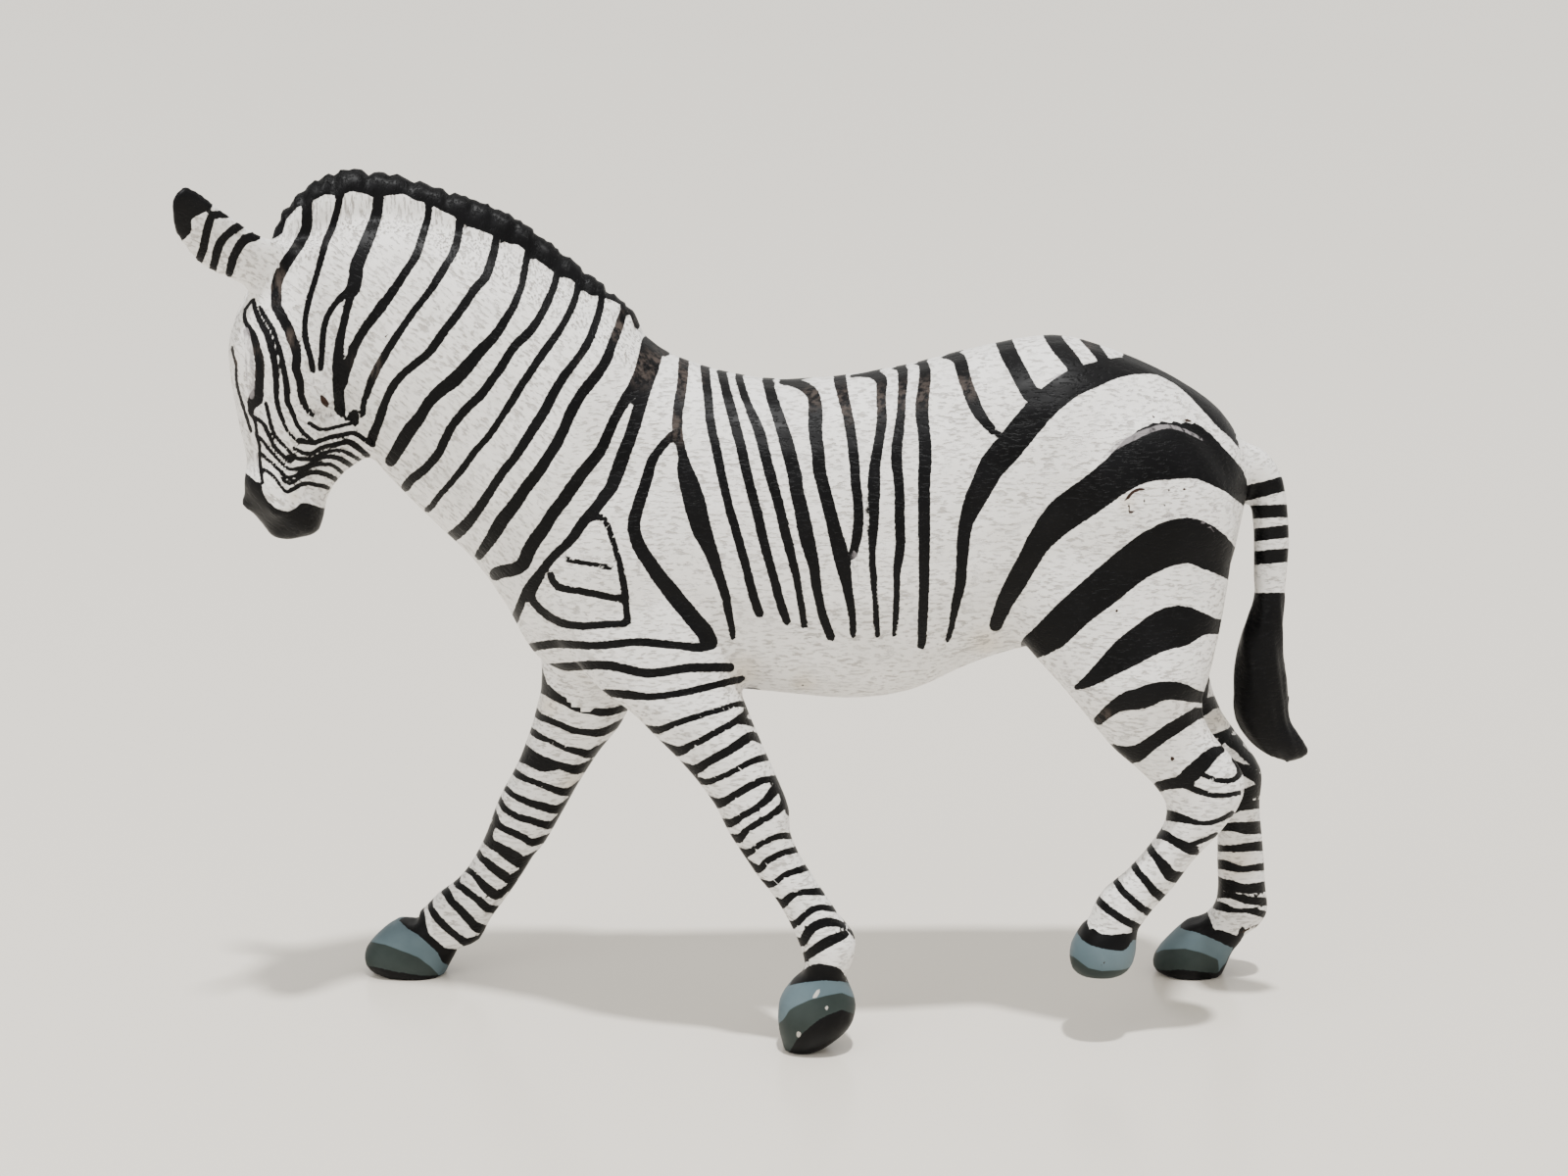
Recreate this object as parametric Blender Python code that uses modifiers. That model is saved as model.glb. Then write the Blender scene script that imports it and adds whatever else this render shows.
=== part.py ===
"""Zebra figurine: one moulded solid that stands on three of its four hooves.

+X runs from the head to the tail, +Z is up, and the animal's left side faces -Y.
The whole figure is drawn on a grid of its length over DRAWN_LENGTH, so its pose and
carving are shares of its length. The origin is under the middle of its box. Metres.
"""
import math

import bmesh
import bpy
from mathutils import Matrix, Vector

# Driving size: from the tip of the ears to the end of the tail tuft.
FIGURE_LENGTH = 0.121

# The same length on the drawing's grid, and the drawing's point that becomes the origin.
DRAWN_LENGTH = 121.0
DRAWN_ORIGIN = (2.6, -0.5)
GRID = FIGURE_LENGTH / DRAWN_LENGTH

# How finely the joined forms are resolved and how many triangles are kept.
VOXEL = 0.55
SMOOTHING_PASSES = 6
TRIANGLE_COUNT = 9400

# Sections of a lofted form: points around each, and sections from one station to the next.
RING_POINTS = 28
SPAN_COUNT = 4

# How square the sections are: 2 is round, more is squarer.
BODY_SQUARENESS = 2.2
HOOF_SQUARENESS = 2.4
EAR_SQUARENESS = 2.0
HEAD_SQUARENESS = 2.5
MANE_SQUARENESS = 2.6

# The head is turned towards the animal's left about an upright axis in the neck.
HEAD_YAW = math.radians(50.0)
HEAD_PIVOT = (-43.5, 0.0)

# The floor's top face is z = 0, and the sole of each standing hoof is cut flat on it.
# The block that cuts them is a cube with this many figure lengths to its edge.
FLOOR_LENGTHS = 1.4

COAT_COLOUR = (0.78, 0.76, 0.72, 1.0)
COAT_ROUGHNESS = 0.42

# A station is front x, front z, back x, back z, sideways y and half width.
# Front means the top line on the trunk and neck, and the leading edge on a leg.
TRUNK_AND_NECK = [
    (55.5, 64.6, 54.1, 56.0, 0.0, 3.9),
    (52.2, 69.8, 52.4, 49.8, 0.0, 7.9),
    (46.6, 73.7, 46.0, 46.0, 0.0, 10.4),
    (39.9, 76.6, 38.3, 44.2, 0.0, 11.6),
    (33.9, 78.0, 31.8, 43.6, 0.0, 12.0),
    (25.9, 76.7, 25.3, 41.6, 0.0, 12.3),
    (18.5, 74.8, 18.8, 38.6, 0.0, 12.6),
    (11.0, 73.5, 12.3, 37.6, 0.0, 12.6),
    (3.6, 73.1, 4.7, 38.2, 0.0, 12.3),
    (-2.8, 74.2, -4.1, 39.0, 0.0, 11.7),
    (-7.9, 76.1, -12.8, 39.2, 0.0, 11.0),
    (-10.6, 78.2, -21.8, 41.4, 0.0, 10.3),
    (-14.4, 80.8, -25.9, 48.0, 0.0, 10.4),
    (-20.7, 85.4, -29.2, 52.9, 0.0, 9.4),
    (-26.5, 88.6, -33.4, 57.1, 0.0, 8.4),
    (-32.7, 90.3, -37.1, 61.0, -0.2, 7.6),
    (-38.5, 91.1, -39.5, 63.9, -0.6, 7.0),
    (-43.0, 90.8, -41.4, 66.8, -1.2, 6.0),
    (-46.4, 88.6, -43.8, 71.2, -2.4, 5.0),
    (-48.0, 84.8, -46.2, 76.4, -3.6, 3.8),
]

RIGHT_FORELEG = [
    (-23.0, 50.0, -8.0, 50.0, 4.5, 7.2),
    (-23.0, 43.7, -10.8, 43.7, 6.0, 6.4),
    (-22.8, 37.7, -12.9, 34.0, 7.0, 5.2),
    (-23.8, 32.8, -16.4, 28.7, 8.0, 4.4),
    (-25.7, 27.4, -19.0, 24.4, 8.6, 3.9),
    (-27.8, 23.4, -21.1, 20.5, 9.0, 3.6),
    (-29.0, 20.4, -23.0, 17.1, 9.3, 3.6),
    (-29.8, 18.1, -24.3, 15.5, 9.6, 3.2),
    (-31.5, 14.7, -26.3, 12.0, 10.4, 2.7),
    (-33.4, 12.1, -28.1, 9.3, 11.0, 2.6),
    (-35.6, 10.3, -29.6, 7.1, 11.6, 2.8),
    (-37.1, 8.6, -31.0, 4.3, 12.2, 2.9),
    (-38.4, 7.2, -33.0, 3.4, 12.5, 2.8),
]
RIGHT_FOREHOOF = [
    (-40.3, 6.8, -33.4, 3.4, 12.6, 3.0),
    (-42.7, 5.1, -34.4, 1.7, 12.7, 3.2),
    (-44.7, 2.5, -35.4, -0.2, 12.7, 3.3),
    (-44.2, 0.6, -36.3, -1.4, 12.7, 2.6),
]

LEFT_FORELEG = [
    (-20.9, 52.0, -1.0, 52.0, -4.9, 6.5),
    (-19.6, 46.5, -0.9, 46.5, -6.3, 6.0),
    (-16.7, 41.7, -0.5, 41.7, -7.2, 5.6),
    (-12.3, 38.4, 0.6, 38.4, -8.0, 5.4),
    (-9.6, 35.7, 1.7, 35.7, -8.5, 4.8),
    (-6.7, 32.8, 3.0, 32.8, -9.0, 4.2),
    (-4.3, 29.9, 4.3, 29.8, -9.3, 3.8),
    (-2.6, 27.3, 5.3, 27.2, -9.6, 3.7),
    (-1.5, 24.9, 5.3, 24.8, -9.9, 3.4),
    (0.3, 22.1, 6.5, 22.0, -10.2, 2.8),
    (1.6, 20.1, 7.7, 20.1, -10.5, 2.6),
    (3.5, 17.7, 9.2, 17.8, -10.7, 2.6),
    (5.0, 15.2, 10.9, 15.2, -10.9, 2.8),
    (6.2, 12.5, 12.6, 12.9, -11.0, 3.1),
    (6.9, 10.2, 12.2, 10.1, -11.0, 2.9),
    (7.0, 8.6, 11.2, 8.6, -11.0, 2.9),
]
LEFT_FOREHOOF = [
    (6.2, 8.3, 11.4, 8.2, -11.0, 3.3),
    (4.4, 6.1, 12.4, 5.9, -11.0, 3.9),
    (4.0, 3.8, 12.5, 4.2, -11.0, 4.0),
    (4.3, 1.4, 11.6, 2.4, -11.0, 3.3),
    (4.8, -0.5, 9.0, 0.2, -10.8, 2.3),
]

LEFT_HINDLEG = [
    (25.5, 60.0, 53.6, 63.0, -5.2, 6.4),
    (26.4, 54.0, 53.4, 57.0, -5.7, 6.8),
    (28.3, 48.6, 52.8, 51.8, -6.3, 6.7),
    (31.5, 44.4, 52.0, 47.2, -7.1, 6.4),
    (34.9, 40.8, 50.9, 42.4, -8.0, 6.2),
    (37.8, 37.2, 50.1, 39.0, -8.0, 5.2),
    (40.6, 33.8, 51.1, 35.8, -8.0, 4.4),
    (43.8, 31.0, 53.4, 33.0, -8.0, 4.0),
    (46.1, 28.3, 54.9, 31.0, -8.0, 3.7),
    (46.7, 26.2, 55.0, 28.3, -8.0, 3.6),
    (46.0, 24.0, 53.0, 24.9, -8.0, 3.4),
    (44.1, 21.4, 50.0, 21.4, -8.0, 2.9),
    (42.0, 19.1, 47.9, 18.2, -8.0, 2.7),
    (40.0, 17.4, 46.1, 16.1, -8.0, 2.8),
    (38.8, 15.3, 44.6, 14.2, -8.0, 3.1),
    (38.7, 14.0, 43.6, 12.6, -8.0, 2.9),
]
LEFT_HINDHOOF = [
    (38.0, 13.5, 43.6, 12.1, -8.0, 3.3),
    (36.6, 11.1, 43.6, 10.4, -8.0, 3.7),
    (36.4, 8.9, 43.2, 8.9, -8.0, 3.7),
    (37.2, 7.9, 42.2, 8.0, -8.0, 3.0),
]

RIGHT_HINDLEG = [
    (31.0, 54.0, 53.4, 57.0, 5.0, 6.5),
    (31.1, 48.1, 53.2, 50.4, 6.1, 6.4),
    (39.1, 37.6, 52.6, 39.6, 7.3, 5.6),
    (44.9, 31.6, 54.5, 33.4, 8.0, 4.6),
    (49.5, 28.0, 57.2, 29.6, 8.5, 4.0),
    (52.8, 24.7, 59.5, 26.0, 9.0, 3.7),
    (54.3, 21.8, 59.4, 22.4, 9.5, 3.4),
    (54.8, 18.6, 59.9, 18.6, 10.3, 2.9),
    (54.9, 14.9, 60.4, 14.9, 10.8, 2.7),
    (55.2, 11.1, 60.8, 11.1, 11.4, 2.7),
    (55.0, 8.5, 61.2, 7.9, 12.0, 3.0),
    (53.8, 7.0, 59.7, 5.5, 12.4, 2.9),
]
RIGHT_HINDHOOF = [
    (52.2, 6.6, 58.7, 4.8, 12.6, 3.0),
    (50.1, 4.5, 57.3, 3.0, 12.7, 3.2),
    (48.2, 2.1, 56.5, 0.9, 12.7, 3.3),
    (48.0, 0.5, 55.6, -1.2, 12.7, 2.7),
]

TAIL = [
    (52.0, 66.8, 51.5, 63.0, 0.0, 2.2),
    (56.8, 65.6, 54.2, 62.4, 0.0, 2.2),
    (59.2, 62.5, 55.3, 61.2, 0.0, 2.1),
    (60.0, 58.6, 56.0, 58.4, 0.0, 2.0),
    (60.3, 55.1, 56.3, 55.2, 0.0, 1.9),
    (60.2, 51.4, 56.4, 51.4, 0.0, 1.8),
    (60.0, 48.4, 56.6, 48.4, 0.0, 1.9),
    (60.0, 44.2, 55.3, 44.7, 0.0, 2.4),
    (60.1, 38.5, 54.6, 39.1, 0.0, 2.8),
    (60.7, 35.1, 55.0, 34.6, 0.0, 2.7),
    (62.4, 32.8, 57.6, 31.3, 0.0, 2.3),
    (63.6, 30.8, 61.0, 29.6, 0.0, 1.3),
]

# A head station is front reach and height, back reach and height, and half width.
# Reach is measured along the way the head faces, from the pivot in the neck.
HEAD = [
    (8.2, 88.6, 3.0, 88.8, 3.0),
    (10.6, 84.6, 1.8, 83.2, 4.4),
    (13.0, 81.0, 1.0, 77.9, 5.1),
    (13.8, 77.9, 0.6, 73.6, 5.5),
    (13.7, 74.2, -0.6, 70.1, 5.3),
    (13.3, 71.0, -1.2, 66.9, 5.0),
    (12.9, 68.3, -2.0, 64.9, 4.7),
    (12.5, 65.7, 1.4, 63.3, 3.9),
    (13.4, 63.7, 3.6, 61.2, 3.4),
    (12.5, 61.2, 4.4, 59.0, 3.4),
    (11.1, 59.0, 5.3, 57.3, 3.0),
    (9.1, 57.5, 6.7, 57.0, 1.9),
]
# A feature of the head lies at a station, a share of the way from the station's front to
# its back, and a share of its half width to the side. Sizes are half sizes.
EYE = {"station": 4.0, "back_share": 0.44, "side_share": 0.925, "radius": 1.15}
EYE_LENGTHENING = 1.25
BROW = {"station": 3.57, "back_share": 0.4, "side_share": 0.854, "size": (2.3, 1.2, 0.95)}
NOSTRIL = {"station": 8.94, "back_share": 0.11, "side_share": 0.676, "size": (1.1, 0.9, 1.1)}
LOWER_LIP = {"station": 9.98, "back_share": 0.48, "side_share": 0.0, "size": (2.6, 2.3, 1.5)}
CHEEK = {"station": 4.46, "back_share": 0.82, "side_share": 0.52, "size": (4.4, 2.6, 4.8)}

# An ear station is front x and z, back x and z, sideways y and half thickness.
LEFT_EAR = [
    (-50.4, 81.0, -46.6, 86.6, -6.4, 2.0),
    (-51.6, 83.5, -48.4, 89.4, -8.0, 1.7),
    (-52.8, 85.1, -49.9, 90.2, -9.4, 1.5),
    (-54.6, 86.2, -51.5, 91.6, -11.2, 1.4),
    (-56.1, 87.5, -52.9, 93.1, -13.0, 1.3),
    (-57.2, 89.3, -54.3, 94.9, -14.8, 1.2),
    (-58.1, 91.5, -55.7, 96.1, -16.0, 1.1),
    (-58.1, 94.4, -57.0, 96.5, -17.0, 0.9),
]
RIGHT_EAR = [
    (-50.2, 80.4, -46.4, 84.6, -2.4, 2.0),
    (-52.2, 82.8, -49.0, 86.8, -2.0, 1.7),
    (-54.0, 84.6, -51.0, 88.4, -1.6, 1.5),
    (-55.6, 86.6, -53.0, 89.8, -1.2, 1.3),
    (-57.0, 88.6, -55.0, 91.2, -0.8, 1.1),
    (-57.8, 90.6, -56.8, 91.9, -0.5, 0.8),
]

# Muscles that stand out of the lofted trunk: centre and half sizes.
MUSCLES = [
    ((-12.0, -6.8, 55.0), (9.5, 5.3, 13.5), math.radians(16.0)),
    ((-12.0, 6.8, 55.0), (9.5, 5.3, 13.5), math.radians(16.0)),
    ((41.2, -6.7, 58.5), (12.2, 6.1, 13.3), math.radians(-12.0)),
    ((41.4, 6.7, 58.5), (12.0, 6.1, 13.3), math.radians(-12.0)),
]

# The mane: a point on the crest of the neck and the top of the hair above it.
MANE_CREST = [
    (-47.9, 84.0), (-47.2, 87.6), (-44.6, 89.9), (-41.6, 90.4), (-38.5, 90.3), (-35.4, 89.8),
    (-32.2, 89.1), (-29.1, 88.2), (-25.4, 86.7), (-22.3, 85.0), (-19.2, 82.9), (-16.0, 80.6),
    (-13.2, 78.7), (-11.4, 77.4),
]
MANE_TOP = [
    (-50.2, 87.4), (-49.4, 91.1), (-46.7, 94.4), (-43.3, 95.9), (-40.0, 96.0), (-36.3, 95.2),
    (-33.2, 94.2), (-30.0, 93.2), (-26.2, 91.8), (-23.0, 89.8), (-19.8, 87.3), (-16.6, 84.8),
    (-13.5, 82.0), (-12.0, 80.4),
]
MANE_HALF_WIDTH = 1.9
MANE_FILL = 0.86
MANE_LOCK_COUNT = 26
LOCK_HALF_LENGTH = 1.15
LOCK_STANDS_PROUD = 0.25
LOCK_REACH = 0.56

# The crest bends towards the turned head from here on, by this much at its end.
CREST_BEND_START = -38.0
CREST_BEND = -2.8

# The tail tuft's hair: locks laid around its middle line.
TUFT_LOCK_COUNT = 7
TUFT_TOP = (57.8, 0.0, 46.0)
TUFT_END = (59.2, 0.0, 33.0)
TUFT_RADIUS = 1.7
TUFT_TOP_SPREAD = 0.45
TUFT_END_SPREAD = 0.8
TUFT_LOCK_HALF_WIDTH = 1.05


def grid(value):
    """A length on the figure's grid, in metres."""
    return value * GRID


def curve_through(points, per_span):
    """Points of a smooth curve through the given tuples, with per_span steps a span."""
    rows = []
    last = len(points) - 1
    for i in range(last):
        before = points[max(i - 1, 0)]
        start = points[i]
        end = points[i + 1]
        after = points[min(i + 2, last)]
        for step in range(per_span):
            t = step / per_span
            rows.append(tuple(hermite(*values, t) for values in zip(before, start, end, after)))
    rows.append(tuple(points[last]))
    return rows


def hermite(before, start, end, after, t):
    """One coordinate of the smooth curve, a share t of the way from start to end."""
    return 0.5 * (2.0 * start + (end - before) * t
                  + (2.0 * before - 5.0 * start + 4.0 * end - after) * t * t
                  + (3.0 * start - before - 3.0 * end + after) * t * t * t)


def rounded(angle, squareness):
    """Cosine and sine of an angle on a superellipse: 2 is a circle, more is squarer."""
    power = 2.0 / squareness
    cosine = math.cos(angle)
    sine = math.sin(angle)
    return math.copysign(abs(cosine) ** power, cosine), math.copysign(abs(sine) ** power, sine)


def loft(bm, sections, squareness):
    """A closed skin over sections, each a front point, a back point and a side vector."""
    rings = []
    for front, back, side in sections:
        middle = (front + back) / 2.0
        reach = (front - back) / 2.0
        ring = []
        for i in range(RING_POINTS):
            along, across = rounded(math.tau * i / RING_POINTS, squareness)
            ring.append(bm.verts.new(middle + reach * along + side * across))
        rings.append(ring)
    faces = [bm.faces.new(rings[0]), bm.faces.new(reversed(rings[-1]))]
    for near, far in zip(rings, rings[1:]):
        for i in range(RING_POINTS):
            j = (i + 1) % RING_POINTS
            faces.append(bm.faces.new((near[i], far[i], far[j], near[j])))
    bmesh.ops.recalc_face_normals(bm, faces=faces)


def body_loft(bm, stations, squareness):
    """A loft whose stations lie in the figure's own side view."""
    sections = []
    for front_x, front_z, back_x, back_z, side, half in curve_through(stations, SPAN_COUNT):
        front = Vector((grid(front_x), grid(side), grid(front_z)))
        back = Vector((grid(back_x), grid(side), grid(back_z)))
        sections.append((front, back, Vector((0.0, grid(half), 0.0))))
    loft(bm, sections, squareness)


def head_point(reach, side, height):
    """A point of the turned head: ahead of the pivot, to its left, and above the floor."""
    ahead = Vector((-math.cos(HEAD_YAW), -math.sin(HEAD_YAW), 0.0))
    left = Vector((math.sin(HEAD_YAW), -math.cos(HEAD_YAW), 0.0))
    pivot = Vector((HEAD_PIVOT[0], HEAD_PIVOT[1], height))
    return (pivot + ahead * reach + left * side) * GRID


def head_loft(bm):
    """The skull, jaw and muzzle."""
    sections = []
    left = head_point(0.0, 1.0, 0.0) - head_point(0.0, 0.0, 0.0)
    for ahead, top, behind, low, half in curve_through(HEAD, SPAN_COUNT):
        sections.append((head_point(ahead, 0.0, top), head_point(behind, 0.0, low), left * half))
    loft(bm, sections, HEAD_SQUARENESS)


def ellipsoid(bm, centre, size, turn):
    """A rounded mass at centre, with half sizes, under a rotation matrix."""
    place = Matrix.Translation(centre) @ turn @ Matrix.Diagonal((*size, 1.0))
    bmesh.ops.create_uvsphere(bm, u_segments=24, v_segments=16, radius=GRID, matrix=place)


def on_head(feature, hand):
    """Where a feature of the head lies: hand is 1 on the left side and -1 on the right."""
    step = min(int(feature["station"]), len(HEAD) - 2)
    station = mix(HEAD[step], HEAD[step + 1], feature["station"] - step)
    front_reach, front_height, back_reach, back_height, half = station
    share = feature["back_share"]
    reach = front_reach + (back_reach - front_reach) * share
    height = front_height + (back_height - front_height) * share
    return head_point(reach, hand * feature["side_share"] * half, height)


def head_features(bm):
    """Eyes under their brows, nostrils, lower lip and cheeks, on both sides of the head."""
    turn = Matrix.Rotation(HEAD_YAW, 4, "Z")
    for hand in (1.0, -1.0):
        radius = EYE["radius"]
        eye_size = (radius * EYE_LENGTHENING, radius, radius)
        ellipsoid(bm, on_head(EYE, hand), eye_size, turn)
        for feature in (BROW, NOSTRIL, CHEEK):
            ellipsoid(bm, on_head(feature, hand), feature["size"], turn)
    ellipsoid(bm, on_head(LOWER_LIP, 1.0), LOWER_LIP["size"], turn)


def muscles(bm):
    """Shoulders and haunches."""
    for centre, size, lean in MUSCLES:
        turn = Matrix.Rotation(lean, 4, "Y")
        ellipsoid(bm, Vector(centre) * GRID, size, turn)


def mane(bm):
    """The upright mane: a thin wall of hair with a lock at every step along the crest."""
    crest = curve_through(MANE_CREST, 2)
    top = curve_through(MANE_TOP, 2)
    sections = []
    for (root_x, root_z), (tip_x, tip_z) in zip(crest, top):
        side = crest_side(root_x)
        root = Vector((grid(root_x), grid(side), grid(root_z)))
        tip = Vector((grid(tip_x), grid(side), grid(tip_z)))
        reach = root + (tip - root) * MANE_FILL
        sections.append((reach, root, Vector((0.0, grid(MANE_HALF_WIDTH), 0.0))))
    loft(bm, sections, MANE_SQUARENESS)
    count = len(crest) - 1
    for i in range(MANE_LOCK_COUNT):
        place = (i + 0.5) / MANE_LOCK_COUNT * count
        step = int(place)
        blend = place - step
        root_x, root_z = mix(crest[step], crest[step + 1], blend)
        tip_x, tip_z = mix(top[step], top[step + 1], blend)
        side = crest_side(root_x)
        root = Vector((root_x, side, root_z))
        tip = Vector((tip_x, side, tip_z))
        lock(bm, root, tip, LOCK_HALF_LENGTH, MANE_HALF_WIDTH + LOCK_STANDS_PROUD)


def crest_side(x):
    """How far the crest has bent sideways, towards the turned head, at x."""
    share = (CREST_BEND_START - x) / (CREST_BEND_START - MANE_CREST[0][0])
    return CREST_BEND * max(0.0, share)


def mix(start, end, share):
    """The tuple a share of the way from start to end."""
    return tuple(a + (b - a) * share for a, b in zip(start, end))


def lock(bm, root, tip, half_length, half_width):
    """One lock of hair: a long rounded mass from its root to its tip."""
    along = tip - root
    upward = along.normalized()
    across = Vector((0.0, 1.0, 0.0))
    lengthwise = across.cross(upward).normalized()
    turn = Matrix((across, lengthwise, upward)).transposed().to_4x4()
    size = (half_width, half_length, along.length * LOCK_REACH)
    ellipsoid(bm, (root + tip) / 2.0 * GRID, size, turn)


def tuft(bm):
    """Locks of hair laid around the end of the tail."""
    top = Vector(TUFT_TOP)
    end = Vector(TUFT_END)
    for i in range(TUFT_LOCK_COUNT):
        angle = math.tau * i / TUFT_LOCK_COUNT
        out = Vector((math.cos(angle) * TUFT_RADIUS, math.sin(angle) * TUFT_RADIUS, 0.0))
        start = top + out * TUFT_TOP_SPREAD
        finish = end + out * TUFT_END_SPREAD
        lock(bm, start, finish, TUFT_LOCK_HALF_WIDTH, TUFT_LOCK_HALF_WIDTH)


def material(name, colour, roughness):
    """A plain painted plastic."""
    made = bpy.data.materials.new(name)
    made.use_nodes = True
    shader = made.node_tree.nodes["Principled BSDF"]
    shader.inputs["Base Color"].default_value = colour
    shader.inputs["Roughness"].default_value = roughness
    shader.inputs["Metallic"].default_value = 0.0
    return made


def collection(name):
    """A new collection in the scene."""
    made = bpy.data.collections.new(name)
    bpy.context.scene.collection.children.link(made)
    return made


def mesh_object(name, bm, home):
    """An object made of a bmesh, which it frees."""
    mesh = bpy.data.meshes.new(name)
    bm.to_mesh(mesh)
    bm.free()
    made = bpy.data.objects.new(name, mesh)
    home.objects.link(made)
    return made


def rough_forms():
    """Every lofted and rounded form of the figure, overlapping, in one bmesh."""
    bm = bmesh.new()
    body_loft(bm, TRUNK_AND_NECK, BODY_SQUARENESS)
    for stations in (RIGHT_FORELEG, LEFT_FORELEG, LEFT_HINDLEG, RIGHT_HINDLEG, TAIL):
        body_loft(bm, stations, BODY_SQUARENESS)
    for stations in (RIGHT_FOREHOOF, LEFT_FOREHOOF, LEFT_HINDHOOF, RIGHT_HINDHOOF):
        body_loft(bm, stations, HOOF_SQUARENESS)
    for stations in (LEFT_EAR, RIGHT_EAR):
        body_loft(bm, stations, EAR_SQUARENESS)
    head_loft(bm)
    head_features(bm)
    muscles(bm)
    mane(bm)
    tuft(bm)
    to_origin = Vector((-grid(DRAWN_ORIGIN[0]), -grid(DRAWN_ORIGIN[1]), 0.0))
    bmesh.ops.translate(bm, verts=bm.verts, vec=to_origin)
    return bm


def floor_cutter(home):
    """The block under z = 0 that cuts the soles flat."""
    bm = bmesh.new()
    edge = FIGURE_LENGTH * FLOOR_LENGTHS
    place = Matrix.Translation((0.0, 0.0, -edge / 2.0))
    bmesh.ops.create_cube(bm, size=edge, matrix=place)
    cutter = mesh_object("floor_cutter", bm, home)
    cutter.hide_render = True
    cutter.display_type = "WIRE"
    return cutter


def fuse(figure, cutter):
    """Joins the forms into one skin, softens it, thins it and cuts the soles."""
    remesh = figure.modifiers.new("join", "REMESH")
    remesh.mode = "VOXEL"
    remesh.voxel_size = grid(VOXEL)
    remesh.use_smooth_shade = True
    soften = figure.modifiers.new("soften", "SMOOTH")
    soften.factor = 0.5
    soften.iterations = SMOOTHING_PASSES
    view = figure.evaluated_get(bpy.context.evaluated_depsgraph_get())
    faces = 2 * len(view.data.polygons)
    thin = figure.modifiers.new("thin", "DECIMATE")
    thin.ratio = min(1.0, TRIANGLE_COUNT / faces)
    thin.use_collapse_triangulate = True
    cut = figure.modifiers.new("soles", "BOOLEAN")
    cut.operation = "DIFFERENCE"
    cut.solver = "EXACT"
    cut.object = cutter


def main():
    for old in list(bpy.data.objects):
        bpy.data.objects.remove(old, do_unlink=True)
    parts = collection("zebra_figurine")
    cutters = collection("cutters")
    figure = mesh_object("zebra", rough_forms(), parts)
    figure.data.materials.append(material("painted_coat", COAT_COLOUR, COAT_ROUGHNESS))
    figure.data.shade_smooth()
    bpy.context.view_layer.update()
    fuse(figure, floor_cutter(cutters))


main()
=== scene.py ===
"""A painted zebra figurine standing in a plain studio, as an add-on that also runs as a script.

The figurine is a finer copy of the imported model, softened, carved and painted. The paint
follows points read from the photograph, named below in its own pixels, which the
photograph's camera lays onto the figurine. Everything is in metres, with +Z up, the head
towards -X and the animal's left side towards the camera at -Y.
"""
import math

import bmesh
import bpy
import numpy as np
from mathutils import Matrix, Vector


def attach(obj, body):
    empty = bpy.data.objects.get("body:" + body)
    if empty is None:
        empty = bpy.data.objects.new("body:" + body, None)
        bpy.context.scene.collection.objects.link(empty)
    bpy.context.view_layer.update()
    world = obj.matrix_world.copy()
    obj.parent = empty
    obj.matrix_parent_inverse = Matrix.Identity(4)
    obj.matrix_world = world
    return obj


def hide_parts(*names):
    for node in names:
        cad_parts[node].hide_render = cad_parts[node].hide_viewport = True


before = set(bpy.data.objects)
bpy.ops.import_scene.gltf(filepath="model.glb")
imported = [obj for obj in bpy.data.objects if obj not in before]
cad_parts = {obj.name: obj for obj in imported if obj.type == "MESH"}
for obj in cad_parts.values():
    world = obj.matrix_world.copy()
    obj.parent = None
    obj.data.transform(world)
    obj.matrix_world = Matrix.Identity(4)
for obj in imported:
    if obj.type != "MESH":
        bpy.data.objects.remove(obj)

bl_info = {
    "name": "Painted Zebra Figurine",
    "version": (1, 0, 0),
    "blender": (4, 5, 0),
    "location": "View3D > Sidebar > Zebra",
    "description": "Adds a painted zebra figurine and a plain studio",
    "category": "Add Mesh",
}

MM = 0.001
NODE = "zebra"

# The photograph: its size in pixels, and the camera that took it.
PHOTO_SIZE = (1600, 1200)
PHOTO_CAMERA = (2.05 * MM, -356.57 * MM, 138.79 * MM)
PHOTO_TILT = math.radians(14.0)
PHOTO_FOCAL = 3400.0
SENSOR = 36.0
PIXELS_PER_MM = 9.24

# The studio: where the parallel light above shines from, and the fill light and its width.
KEY_PLACE = (0.05, -0.25, 1.0)
FILL_PLACE = (-0.5, -0.6, 0.6)
FILL_SIZE = 0.6

# The furthest that a painted edge reaches, in pixels.
PAINT_REACH = 14.0

# How far the paint spreads past the points read, in pixels: on the body, where strokes are
# thin, on the face and at the hooves. The legs' rings also run on past their ends.
BODY_SPREAD = 0.75
THIN_SPREAD = 1.1
FACE_SPREAD = 0.35
CORONET_SPREAD = 0.6
RING_REACH = 11.0

# What the middle of a smooth curve between two points takes from each of them.
NEXT_SHARE = 0.5625

# How near to a painted edge the mesh is made finer, in pixels, and the triangles that
# splitting one edge adds.
FINE_PAINT_REACH = 4.5
EDGE_TRIANGLES = 3

# The body's middle plane, the lowest of the mane, and the axis of the tail's tuft.
BODY_PLANE = 0.5 * MM
MANE_FROM = 72.0 * MM
TUFT_AXIS = 57.0 * MM

# The turned head: its pivot, where it faces, and the top and the back of its room.
HEAD_PIVOT = (-46.1 * MM, BODY_PLANE)
HEAD_YAW = math.radians(50.0)
HEAD_TOP = 92.0 * MM
HEAD_BACK = -36.0 * MM

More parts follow.
